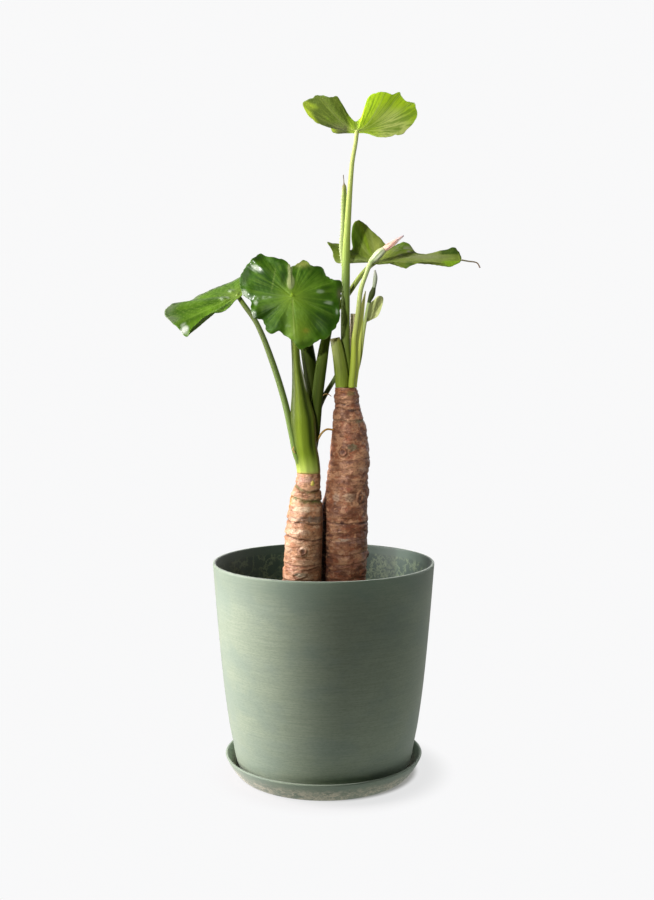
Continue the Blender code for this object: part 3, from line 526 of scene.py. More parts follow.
RIGHT_RINGS = [
    (level(470.5, 0.8), 0.6, 0.5, RUST, 1.0, 0.3),
    (level(463, 1.0, 40), 0.6, 0.4, DARK_LINE, 0.7, 0.5),
    ([(-180, 457), (-120, 457.5), (-94, 456.6), (-60, 457.4), (0, 458), (90, 456)],
     0.7, 0.4, DARK_LINE, 0.8, 0.4),
    ([(-180, 451.5), (-123, 451.5), (-70, 448.8), (-20, 449), (90, 450)], 0.7, 0.5, DARK_LINE, 0.8, 0.6),
    ([(-180, 437), (-103, 437.2), (-40, 436), (0, 437), (90, 438)], 0.8, 0.6, (0.14, 0.1, 0.05), 0.9, 0.9),
    ([(-180, 426.5), (-134, 424.2), (-90, 424.6), (-60, 420), (-23, 413.4), (40, 416), (120, 424)],
     0.7, 0.5, (0.2, 0.1, 0.06), 0.8, 0.8),
    (level(409.5, 1.2, 80), 0.4, 0.4, RUST, 0.6, 0.5),
    ([(-180, 388), (-140, 386), (-103, 387.4), (-50, 390), (0, 388), (90, 388)],
     0.7, 0.5, (0.2, 0.09, 0.05), 0.8, 0.7),
    ([(-180, 376), (-130, 379), (-101, 377), (-60, 380), (-20, 378), (90, 377)],
     0.6, 0.5, (0.22, 0.12, 0.06), 0.8, 0.8),
    (level(370.5, 0.7, 10), 0.6, 0.4, (0.2, 0.08, 0.05), 0.8, 0.4),
    ([(-180, 363), (-98, 364.3), (-40, 362.5), (0, 364), (90, 364)],
     0.6, 0.5, (0.24, 0.12, 0.07), 0.7, 0.9),
    (level(357, 0.6, 50), 0.5, 0.3, (0.2, 0.07, 0.04), 0.7, 0.5),
    (level(333, 0.8), 0.3, 0.3, RUST, 0.5, 0.4),
    (level(323, 1.2, 90), 0.3, 0.2, RUST, 0.5, 0.3),
    ([(-180, 313), (-120, 312.6), (-97, 311.6), (-60, 310.4), (-29, 311), (30, 311), (100, 312)],
     1.1, 0.8, (0.07, 0.03, 0.02), 0.8, 0.6),
    (level(300, 0.9, 30), 0.4, 0.3, RUST, 0.6, 0.5),
    ([(-180, 289), (-110, 291), (-90, 288.6), (-50, 290), (0, 290), (90, 290)],
     0.6, 0.4, (0.2, 0.1, 0.06), 0.7, 0.8),
    ([(-180, 278), (-120, 272), (-89, 271), (-50, 273.5), (-11, 275.8), (90, 276)],
     0.8, 0.6, (0.16, 0.06, 0.035), 0.8, 0.6),
    (level(262, 1.3, 45), 0.7, 0.5, (0.18, 0.07, 0.04), 0.8, 0.4),
    (level(253, -1.0), 0.7, 0.5, (0.18, 0.07, 0.04), 0.8, 0.4),
    (level(243, 1.2, 60), 0.7, 0.5, DARK_LINE, 0.8, 0.3),
    (level(232, 1.0), 0.7, 0.5, DARK_LINE, 0.8, 0.3),
    (level(221, 1.4, 90), 0.7, 0.5, DARK_LINE, 0.8, 0.3),
    (level(209, 1.0, 20), 0.7, 0.5, DARK_LINE, 0.8, 0.2),
]
RIGHT_EYES = [
    (-111, 399.4, 5.2, 6.0, 2.4), (-51, 342.3, 4.4, 7.2, 2.2), (-2, 268.9, 3.4, 3.4, 2.6),
    (60, 372, 5, 5, 2.2), (120, 300, 6, 6, 2.2),
]
RIGHT_STAINS_AND_SHADE = [
    (-90, 473, 26, 3.0, (0.36, 0.14, 0.05), 0.85), (-60, 470, 8, 3.0, (0.3, 0.25, 0.08), 0.6),
    (-93, 456.4, 7, 1.8, (0.07, 0.035, 0.022), 0.9), (-70, 449.2, 6, 1.8, (0.06, 0.03, 0.02), 0.9),
    (-45, 436, 10, 3.0, (0.16, 0.14, 0.07), 0.7), (-84, 404.7, 8, 5.5, (0.14, 0.135, 0.07), 0.75),
    (-158, 394.2, 2.6, 2.2, (0.05, 0.025, 0.018), 0.8), (-91, 353.7, 9, 2.6, (0.26, 0.08, 0.04), 0.85),
    (-83, 343.0, 9, 6.0, (0.45, 0.32, 0.2), 0.7), (-118, 343.0, 5, 7.0, (0.5, 0.36, 0.25), 0.6),
    (-95, 427, 12, 6.0, (0.28, 0.12, 0.07), 0.5), (-58, 290, 22, 6.0, (0.17, 0.085, 0.065), 0.65),
    (-97, 291, 8, 2.6, (0.58, 0.45, 0.33), 0.7), (-97, 312.1, 2.6, 2.4, (0.05, 0.02, 0.015), 0.9),
    (-40, 311, 9, 2.0, (0.09, 0.04, 0.03), 0.7), (0, 268.9, 3.4, 3.4, (0.05, 0.025, 0.02), 0.9),
    (-40, 262, 20, 8.0, (0.33, 0.15, 0.09), 0.55), (-20, 395, 10, 8.0, (0.42, 0.25, 0.17), 0.5),
    # Painted shadow: at -160 degrees, the left trunk's shade on the right trunk's left side
    (-160, 278, 17, 68, (0.025, 0.011, 0.007), 0.9), (-75, 418, 7, 5, (0.38, 0.2, 0.12), 0.6),
    (-45, 378, 9, 5, (0.58, 0.38, 0.26), 0.6), (-100, 366, 8, 3, (0.5, 0.27, 0.17), 0.5),
    (-35, 330, 8, 6, (0.16, 0.065, 0.04), 0.5), (-120, 325, 8, 7, (0.17, 0.07, 0.045), 0.5),
    (-60, 276, 10, 4, (0.5, 0.28, 0.18), 0.5),
]
RIGHT_SPINE = [
    (140, 25, 14, 26.0), (200, 25, 14, 27.0), (237, 25, 14, 28.0), (262, 25.4, 14, 28.8),
    (300, 25.6, 14, 28.9), (330, 26.2, 13, 28.5), (345, 28, 12, 27.2), (369, 30, 11, 25.8),
    (391, 32, 10, 24.7), (412, 32, 9, 23.3), (430, 31, 8, 20.6), (449, 29, 8, 16.5), (461, 28, 7, 15.0),
    (476.5, 27, 6, 13.5),
]
RIGHT_TONES = ((0.3, 0.122, 0.056), (0.52, 0.275, 0.145), (0.1, 0.031, 0.015), (0.3, 0.09, 0.038))
trunk("trunk_right", RIGHT_SPINE, RIGHT_RINGS, RIGHT_EYES, RIGHT_STAINS_AND_SHADE, RIGHT_TONES, 0.55, 190, 420)


# Stalks of the lower crown: the front leaf's stout stalk wraps its sheath round the younger ones,
# and thinner stalks leave it to the left and behind. All are smooth, ribbed and a little waxy.
def course(points, count, first=0, last=None):
    """Centres, radii and side ways at count places on a smooth line through (x, y, z, radius) points."""
    points = np.array(points, float)
    places = np.concatenate([[0], np.cumsum(np.linalg.norm(np.diff(points[:, :3], axis=0), axis=1))])
    at = np.linspace(places[first], places[-1 if last is None else last], count)
    line = through(places, points, at)
    ways = np.gradient(line[:, :3], axis=0)
    ways /= np.linalg.norm(ways, axis=1)[:, None]
    side = np.array([1.0, 0, 0])
    sides = []
    for way in ways:
        side = side - way * (side @ way)
        side /= np.linalg.norm(side)
        sides.append(side)
    sides = np.array(sides)
    return line, at - at[0], sides, np.cross(ways, sides)


def stalk(name, points, look, finish, around, along, first=0, last=None, form=None):
    """A ribbed stalk. look gives its paint from the turn in degrees, the share of its length, the
    place and the grain, and form its swelling from the turn, the share and the centre line."""
    line, lengths, sides, fronts = course(points, along - 1, first, last)

    def shape(turn, row):
        at = np.clip(row - 1, 0, along - 2)
        share = lengths[at] / lengths[-1]
        degrees = np.degrees(turn)
        degrees = np.where(degrees > 180, degrees - 360, degrees)
        ends = np.clip(row, 0, 1) * np.clip(along - row, 0, 1)
        ring_way = np.cos(turn)[:, None] * sides[at] + np.sin(turn)[:, None] * fronts[at]
        radius = np.maximum(line[at, 3], 0.35)
        centre = line[at, :3]
        ribs = 0.012 * radius * np.cos(turn * 11)
        swell = form(degrees, share, centre) if form else 0.0
        places = centre + ring_way * ((radius + ribs + swell) * ends)[:, None]
        grain = np.column_stack([np.cos(turn) * radius, np.sin(turn) * radius, lengths[at]])
        return places, {"paint": look(degrees, share, places, grain), "grain": grain / 10}

    return rolled(name, around, along, shape, finish, name)


def green_finish(
    name, roughness, streaks, gloss=0.16, speck=(0.03, 0.055, 0.006), light=(0.3, 0.38, 0.05), glow=0.0
):
    """Smooth plant skin with fine streaks and specks along it. A glow gives it a painted glow in its own
    colour.
    """
    skin = Finish(name, Roughness=roughness, Specular_IOR_Level=gloss)
    paint = skin.kept("paint", "Vector")
    grain = skin.kept("grain", "Vector")
    lines = skin.noise(skin.vector("MULTIPLY", grain, (9, 9, 0.35)), 1.0, 4.0, 0.6)
    specks = skin.noise(skin.place(), 900, 3.0)
    pale = skin.mix(lines.step(0.5, 0.8) * streaks, paint, light)
    colour = skin.mix((1.0 - lines.step(0.25, 0.48)) * streaks, pale, speck)
    colour = skin.mix(specks.step(0.62, 0.75) * 0.18, colour, speck)
    skin.wear(Base_Color=colour, Normal=skin.bump(lines + specks * 0.25, 0.0005, 0.4))
    skin.wear(Roughness=roughness - 0.06 + lines * 0.12)
    skin.glow(colour, glow)
    return skin.material


def ramp(values, *stops):
    """Paint that runs through (value, colour) stops."""
    places = [stop[0] for stop in stops]
    return np.column_stack([np.interp(values, places, [stop[1][c] for stop in stops]) for c in range(3)])


def shaded(stops, *bands, by_height=False):
    """A look whose colours run along the stalk, by share or by height, under bands of (colour,
    strength, mask of the turn and the height)."""

    def look(degrees, share, places, grain):
        height = places[:, 2]
        layers = ((colour, mask(degrees, height) * strength) for colour, strength, mask in bands)
        return layered(ramp(height if by_height else share, *stops), *layers)

    return look


def stripe(at, width):
    """A mask along one side of the stalk."""
    return lambda degrees, height: bell(degrees - at, width)


def beyond(low, high):
    """A mask that rises from one angle to another."""
    return lambda degrees, height: rise(degrees, low, high)


LIME = (0.2, 0.28, 0.03)
LEAF_GREEN = (0.09, 0.15, 0.012)

FRONT_PETIOLE = [
    (-18.4, -10, 373.3, 14.2), (-18.4, -10, 377, 14.3), (-20, -10, 389, 14.6), (-23, -11, 406, 14.8),
    (-24.5, -12, 426, 15.2), (-25.5, -13, 441, 15.0), (-27, -14, 453, 13.0), (-28.5, -15, 468, 10.3),
    (-30.5, -15, 486, 7.6), (-33, -13, 508, 5.3), (-34.5, -8, 530, 4.9), (-36.5, -1, 560, 4.5),
    (-37.5, 2, 582, 4.2), (-38, 0, 595, 4.6), (-38, -5, 601, 5.0), (-38, -12, 598, 4.8),
    (-37.5, -18, 591, 3.6), (-37, -23.5, 584.5, 2.8),
]


def front_look(degrees, share, places, grain):
    height = places[:, 2]
    stops = (
        (373, (0.34, 0.42, 0.09)), (384, (0.26, 0.34, 0.05)), (397, (0.16, 0.23, 0.016)),
        (430, (0.145, 0.205, 0.014)), (470, (0.085, 0.115, 0.012)), (540, (0.08, 0.1, 0.014)),
    )
    away = np.interp(height, (373, 420, 500), (-50, -56, -66))
    # Painted shade: a dark stripe down the stalk's channel
    channel_shade = bell(degrees - away, 17) * rise(height, 378, 412) * rise(535 - height, 0, 50)
    # The sheath's pale margin, painted near white: a pale margin with a painted highlight on it
    edge = bell(degrees + 26, 9) * rise(height, 470, 482) * rise(512 - height, 0, 8)
    return layered(
        ramp(height, *stops),
        ((0.15, 0.21, 0.015), bell(degrees + 92, 26) * rise(height, 385, 405) * 0.6),
        # Painted shade on the stalk's left side
        ((0.03, 0.048, 0.006), rise(-degrees, 106, 146) * 0.85 * rise(height, 376, 395)),
        ((0.018, 0.03, 0.003), channel_shade * 0.9),
        ((0.1, 0.145, 0.015), rise(degrees, -46, -24) * rise(height, 371, 379) * 0.8),
        ((0.85, 0.86, 0.7), edge * 0.95),
        ((0.3, 0.31, 0.13), rise(height, 572, 590) * 0.9),
        ((0.14, 0.235, 0.014), rise(share, 0.955, 0.975)),
        ((0.33, 0.26, 0.07), rise(377 - height, 0, 3) * 0.7),
    )


def front_swell(degrees, share, centre):
    height = centre[:, 2]
    lip = bell(degrees + 14, 8) * rise(height, 425, 440) * rise(515 - height, 0, 12)
    return 0.5 * lip


front_skin = green_finish("front_stalk_skin", 0.42, 0.22, 0.1)
stalk("petiole_front", FRONT_PETIOLE, front_look, front_skin, 64, 200, form=front_swell)

INNER_PETIOLE = [
    (-18, -5, 400, 7), (-17, -1, 420, 8.8), (-15, 3, 449, 9.2), (-15, 6, 486, 9.0), (-20, 9, 523, 8.2),
    (-24, 12, 550, 5.8), (-29, 14, 576, 4.4), (-31, 15, 592, 4.8), (-32, 16, 606, 0.8),
]
# Painted shade: the inner stalk is painted near black green, for the shade it stands in behind the front
# stalk
inner_stops = ((0, (0.014, 0.022, 0.002)), (0.6, (0.015, 0.024, 0.002)), (1, LEAF_GREEN))
inner_look = shaded(inner_stops, ((0.04, 0.055, 0.006), 0.5, stripe(-95, 18)))
dark_skin = green_finish("dark_stalk_skin", 0.5, 0.2, 0.03, (0.015, 0.03, 0.005), (0.12, 0.16, 0.03))
stalk("petiole_inner", INNER_PETIOLE, inner_look, dark_skin, 40, 110, last=6)

pale_skin = green_finish("young_leaf_skin", 0.48, 0.25, 0.15, (0.12, 0.18, 0.03), (0.5, 0.56, 0.24))
rolled_look = shaded(((0, LIME), (1, (0.42, 0.5, 0.18))))
stalk("leaf_rolled_inner", INNER_PETIOLE, rolled_look, pale_skin, 32, 40, first=6)

RIGHT_PETIOLE = [
    (-13, -6, 400, 5), (-10.5, -4, 425, 6.2), (-8, -4, 462, 6.8), (-2.5, 0, 506, 6.8), (2.5, 6, 535, 5.6),
    (11, 12, 562, 3.7), (21, 16, 579, 3.3), (32, 17.5, 594, 3.2), (46, 17, 614, 3.0), (58, 15, 626, 2.9),
    (66, 14, 631, 2.6),
]
# Painted shade: the stalk is painted darkest low down, where it stands in shade behind the other stalks
right_stops = (
    (400, (0.035, 0.055, 0.005)), (500, (0.045, 0.07, 0.008)), (560, (0.12, 0.17, 0.02)),
    (585, (0.24, 0.31, 0.06)), (631, (0.3, 0.36, 0.1)),
)
right_look = shaded(right_stops, ((0.08, 0.1, 0.02), 0.5, stripe(-80, 16)), by_height=True)
stalk("petiole_right", RIGHT_PETIOLE, right_look, dark_skin, 36, 140)

SMALL_PETIOLE = [
    (-12, 0, 405, 3), (-8, 6, 431, 3.2), (-4, 10, 456, 3.2), (14, 18, 488, 2.7), (33, 23, 523, 2.3),
    (49, 25, 553, 1.9), (54.8, 25, 562, 1.6),
]
small_look = shaded(((0, (0.07, 0.1, 0.03)), (0.7, (0.09, 0.12, 0.04)), (1, (0.25, 0.3, 0.12))))
stalk("petiole_small", SMALL_PETIOLE, small_look, dark_skin, 24, 100)

LEFT_PETIOLE = [
    (-24, -14, 378, 4.0), (-32.5, -17, 395, 4.2), (-38, -16, 420, 4.1), (-47.5, -12, 462, 3.9),
    (-63, -8, 511, 3.7), (-80, -6, 553, 3.2), (-97, -5, 578, 3.0), (-104.5, -6, 589, 2.8),
]
left_stops = ((0, (0.12, 0.19, 0.035)), (0.5, (0.1, 0.15, 0.035)), (0.9, (0.13, 0.17, 0.05)), (1, LIME))
left_look = shaded(left_stops, ((0.07, 0.1, 0.02), 0.6, beyond(-100, -50)))
stalk("petiole_left", LEFT_PETIOLE, left_look, green_finish("left_stalk_skin", 0.38, 0.2), 32, 130)


# Root, bud and dry bits of the lower crown: a yellow root hangs across to the other trunk, a bud
# swells from a ring of the trunk, and shreds of old sheath have dried on.
def scurfed(foot, tip, dark):
    """A look that runs from the foot's colour to the tip's, with dark scurf on it."""

    def look(degrees, share, places, grain):
        scurf = dark * rise(unit_noise(places / 2.0, 21), 0.0, 0.7)
        return mixed(ramp(share, (0, foot), (1, tip)), (0.05, 0.03, 0.015), scurf)

    return look


AERIAL_ROOT = [
    (-12, -8, 405, 1.3), (-7, -8, 414, 1.3), (-2, -7, 422, 1.2), (4, -2, 426, 1.2), (12, 3, 425, 1.2),
]
root_skin = green_finish("root_skin", 0.5, 0.2, 0.35, (0.2, 0.1, 0.02), (0.6, 0.4, 0.1))
stalk("aerial_root", AERIAL_ROOT, scurfed((0.3, 0.2, 0.04), (0.55, 0.3, 0.06), 0.3), root_skin, 18, 60)

LEFT_BUD = [
    (-16, -20, 356, 3.0), (-14.5, -22.5, 360.5, 3.8), (-13.8, -23.2, 364.4, 2.6),
    (-13.5, -23.5, 366, 1.0),
]
bud_stops = ((0, (0.2, 0.3, 0.04)), (0.5, (0.5, 0.42, 0.08)), (1, (0.62, 0.46, 0.12)))
bud_look = shaded(bud_stops, ((0.1, 0.2, 0.03), 1, beyond(-70, -20)))
stalk("bud_left", LEFT_BUD, bud_look, green_finish("bud_skin", 0.4, 0.12), 28, 40)

dry_skin = green_finish("dried_shred", 0.7, 0.3, 0.2, (0.16, 0.07, 0.02), (0.7, 0.55, 0.3))


def shred(name, slot, points, foot, tip):
    """A dry shred, wider than it is thick, that runs from its foot's colour to its tip's."""
    rows = 30
    line, lengths, sides, fronts = course(points, rows - 1)

    def form(turn, row):
        at = np.clip(row - 1, 0, rows - 2)
        ends = np.clip(row, 0, 1) * np.clip(rows - row, 0, 1)
        ring_way = np.cos(turn)[:, None] * sides[at] * 1.3 + np.sin(turn)[:, None] * fronts[at] * 0.7
        places = line[at, :3] + ring_way * (line[at, 3] * ends)[:, None]
        grain = np.column_stack([np.cos(turn), np.sin(turn), lengths[at]]) / 10
        return places, {"paint": ramp(lengths[at] / lengths[-1], (0, foot), (1, tip)), "grain": grain}

    return rolled(name, 12, rows, form, dry_skin, None)


CURL = [
    (-7, 0, 466, 1.0), (-3.2, -3.5, 465.6, 1.1), (1.7, -4.5, 469, 1.0), (6, -4, 468.6, 0.8),
    (9.4, -4, 466.4, 0.5),
]
FIBRE = [(-34.5, -26, 399, 0.5), (-36.8, -27.5, 402.5, 0.5), (-35.6, -27.8, 406.6, 0.35)]
SHEATH_LEFT = [
    (-37.2, -17, 334, 1.0), (-39.2, -17.4, 340, 1.2), (-38.6, -17.6, 346, 0.8), (-36, -17.4, 350, 0.5),
]
SHEATH_LOW = [(-40, -16, 329, 0.6), (-41.4, -16.4, 333, 0.8), (-39.6, -16.4, 337, 0.6)]
STRAW = ((0.55, 0.33, 0.13), (0.5, 0.25, 0.08))
shred("dried_curl", "petiole_front", CURL, (0.5, 0.4, 0.12), (0.24, 0.1, 0.04))
shred("dried_fibre", "petiole_front", FIBRE, *STRAW)
shred("dried_sheath_left", "trunk_left", SHEATH_LEFT, *STRAW)
shred("dried_sheath_low", "trunk_left", SHEATH_LOW, *STRAW)


# Stalks of the higher crown, side by side round the top leaf's stalk: an old leaf stalk that was cut
# off, the long straight stalk, a dried stub, two flower stalks and the bract between them.
TOP_PETIOLE = [
    (28, 7, 476.8, 6.4), (28, 7, 481, 6.3), (28.5, 6, 493, 6.1), (27.5, 5, 515, 5.9), (26.5, 5, 535, 5.6),
    (26.5, 4, 583, 5.3), (27.5, 4, 643, 4.7), (29, 4, 673, 3.9), (34, 2, 744, 2.8), (38.5, -1, 771, 2.5),
    (40, -4, 784.5, 2.6),
]
top_stops = (
    (477, (0.13, 0.18, 0.02)), (530, (0.12, 0.165, 0.025)), (600, (0.13, 0.2, 0.04)),
    (650, (0.25, 0.34, 0.06)), (720, (0.36, 0.43, 0.11)), (784, (0.42, 0.48, 0.15)),
)
top_look = shaded(top_stops, by_height=True)
stalk("petiole_top", TOP_PETIOLE, top_look, green_finish("top_stalk_skin", 0.45, 0.2, 0.12), 40, 220)

CUT_SHEATH = [
    (22, 1, 476.8, 7.6), (22, 1, 481, 8.0), (21.5, -1, 493, 8.4), (18.5, -3, 515, 7.6),
    (14, -4, 537, 6.4),
]
sheath_stops = ((477, (0.2, 0.27, 0.025)), (500, (0.13, 0.17, 0.02)), (530, (0.2, 0.23, 0.05)))
sheath_look = shaded(
    sheath_stops,
    # Painted light: the right side, in the key lamp's shade, is painted lighter
    ((0.19, 0.25, 0.022), 0.8, beyond(-80, -55)),
    ((0.3, 0.24, 0.06), 0.7, lambda degrees, height: rise(height, 531, 536)),
    by_height=True,
)


def sheath_swell(degrees, share, centre):
    return -1.0 * rise(share, 0.9, 1.0) * (0.5 + 0.5 * np.cos(np.radians(degrees * 3)))


sheath_skin = green_finish("cut_sheath_skin", 0.42, 0.45, 0.3)
stalk("sheath_cut", CUT_SHEATH, sheath_look, sheath_skin, 48, 60, form=sheath_swell)

DRY_STUB = [(30, 15, 476.8, 3.2), (30, 15, 480, 3.2), (34.5, 15, 529, 3.6), (36, 15, 567, 3.0)]
stub_skin = green_finish("dry_stub_skin", 0.65, 0.35, 0.25, (0.25, 0.16, 0.08), (0.65, 0.56, 0.38))
stalk("stub_dry", DRY_STUB, scurfed((0.4, 0.32, 0.16), (0.52, 0.45, 0.27), 0.2), stub_skin, 28, 60)

POINTED_BRACT = [
    (37.5, 6.5, 476.8, 3.4), (37.5, 6.5, 480, 3.4), (41, 6.5, 510, 3.6), (43, 7, 535, 3.6),
    (47, 7.5, 572, 2.7), (51, 8, 594, 0.6),
]


def bract_flush(degrees, height):
    return rise(degrees, -30, 0) * rise(height, 530, 545) * rise(572 - height, 0, 8)


# Painted light: the bract is painted bright and given a painted glow, to stand lit in the shade of the stalks
bract_stops = ((0, (0.42, 0.5, 0.08)), (0.7, (0.58, 0.64, 0.14)), (1, (0.6, 0.56, 0.22)))
bract_look = shaded(bract_stops, ((0.2, 0.09, 0.07), 0.7, bract_flush))
bract_skin = green_finish("bract_skin", 0.5, 0.3, 0.12, (0.14, 0.18, 0.03), (0.5, 0.55, 0.16), 0.2)
stalk("bract_pointed", POINTED_BRACT, bract_look, bract_skin, 32, 80)

OPEN_BLOOM = [
    (34, -1, 476.8, 4.1), (34, -1, 481, 4.1), (36, -1, 504, 3.9), (37, -1.5, 535, 3.2),
    (39, -2, 549, 3.0), (42, -3, 571, 2.9), (45, -4, 595, 2.8), (51, -5, 613, 2.7), (57, -6, 628, 3.3),
    (62, -6, 633, 4.7), (68, -7, 639, 4.8), (73, -7, 643, 3.4), (79, -7, 647, 3.5), (86, -8, 652, 2.7),
    (90, -8, 655, 1.8), (96, -8, 659, 0.8),
]
BUD_BLOOM = [
    (36, 13, 476.8, 2.3), (36, 13, 480, 2.3), (44, 12, 510, 2.3), (49, 8, 547, 2.2), (55, 5, 580, 2.2),
    (57.5, 4.3, 587, 3.3), (59, 4, 591, 3.7), (61, 3, 598, 2.4), (62.5, 2, 610, 2.6), (62, 1.5, 619, 0.9),
]
peduncle_stops = (
    (0, (0.3, 0.38, 0.04)), (0.3, (0.42, 0.5, 0.06)), (0.5, (0.42, 0.47, 0.12)), (1, (0.4, 0.5, 0.2)),
)
peduncle_look = shaded(peduncle_stops, ((0.28, 0.33, 0.06), 0.5, beyond(-60, 0)))
bloom_skin = green_finish("flower_stalk_skin", 0.48, 0.25, 0.12, (0.14, 0.2, 0.04), (0.5, 0.56, 0.24))
stalk("peduncle_open", OPEN_BLOOM, peduncle_look, bloom_skin, 28, 130, last=8)
stalk("peduncle_bud", BUD_BLOOM, peduncle_look, bloom_skin, 24, 100, last=4)


# Blooms: each flower stalk ends in a leafy spathe. Its lower part stays closed as a green tube
# round the flowers, and its limb above is thin: the open one has withered to salmon pink.
def tube_look(degrees, share, places, grain):
    lines = unit_noise(np.column_stack([grain[:, :2] / 1.6, grain[:, 2] / 14]), 31)
    return layered(
        ramp(share, (0, (0.46, 0.57, 0.26)), (0.6, (0.64, 0.7, 0.44)), (1, (0.58, 0.62, 0.38))),
        ((0.22, 0.33, 0.1), rise(lines, 0.05, 0.6) * 0.6),
        ((0.28, 0.14, 0.08), rise(share, 0.955, 0.985) * 0.8),
    )


def tube_swell(degrees, share, centre):
    return 0.25 * np.cos(np.radians(degrees * 7)) * np.sin(math.pi * share)


tube_skin = green_finish("spathe_tube_skin", 0.42, 0.2, 0.3, (0.2, 0.3, 0.1), (0.7, 0.74, 0.5))
stalk("spathe_open_tube", OPEN_BLOOM, tube_look, tube_skin, 40, 70, first=8, last=11, form=tube_swell)


def limb_look(degrees, share, places, grain):
    stops = (
        (0, (0.9, 0.56, 0.42)), (0.5, (0.88, 0.5, 0.38)), (0.72, (0.5, 0.36, 0.36)), (1, (0.34, 0.28, 0.33)),
    )
    lines = unit_noise(np.column_stack([grain[:, :2] / 1.3, grain[:, 2] / 7]), 33)
    return layered(
        ramp(share, *stops),
        ((0.92, 0.68, 0.56), rise(lines, 0.1, 0.6) * 0.6),
        ((0.3, 0.1, 0.06), rise(-lines, 0.2, 0.7) * 0.6),
    )


def limb_swell(degrees, share, centre):
    folds = np.cos(np.radians(degrees * 5) + 4 * share) + 0.6 * np.cos(np.radians(degrees * 9) - 7 * share)
    return 0.42 * folds * (1 - 0.7 * share) * rise(share, 0.0, 0.15)


limb_skin = green_finish("withered_limb_skin", 0.55, 0.3, 0.3, (0.45, 0.16, 0.09), (0.85, 0.6, 0.48))
stalk("spathe_open_limb", OPEN_BLOOM, limb_look, limb_skin, 44, 80, first=11, form=limb_swell)

bud_tube_stops = ((0, (0.06, 0.085, 0.02)), (0.4, (0.05, 0.072, 0.015)), (1, (0.06, 0.075, 0.03)))
dark_tube_look = shaded(bud_tube_stops, ((0.08, 0.1, 0.035), 0.5, stripe(-130, 25)))
stalk("spathe_bud_tube", BUD_BLOOM, dark_tube_look, dark_skin, 28, 50, first=4, last=7)


def bud_limb_swell(degrees, share, centre):
    return 0.18 * np.cos(np.radians(degrees * 5))


bud_limb_look = shaded(((0, (0.3, 0.35, 0.2)), (0.6, (0.38, 0.42, 0.3)), (1, (0.36, 0.36, 0.3))))
bud_limb_skin = green_finish("bud_limb_skin", 0.5, 0.3, 0.3, (0.2, 0.23, 0.14), (0.55, 0.58, 0.46))
stalk("spathe_bud_limb", BUD_BLOOM, bud_limb_look, bud_limb_skin, 28, 50, first=7, form=bud_limb_swell)


# Leaves: thin, waved, leathery blades. Ribs fan out from the joint with the stalk, dents lie over
# them on the glossy upper face, and the lower face is paler. Painted highlights, sheen and shade lie
# in their colours, and the top, right and small leaves have a painted glow in place of light coming
# through them.
def oval(across, along, wide, high):
    """1 at the middle of an oval, fading outwards."""
    return np.exp(-((across / wide) ** 2) - (along / high) ** 2)


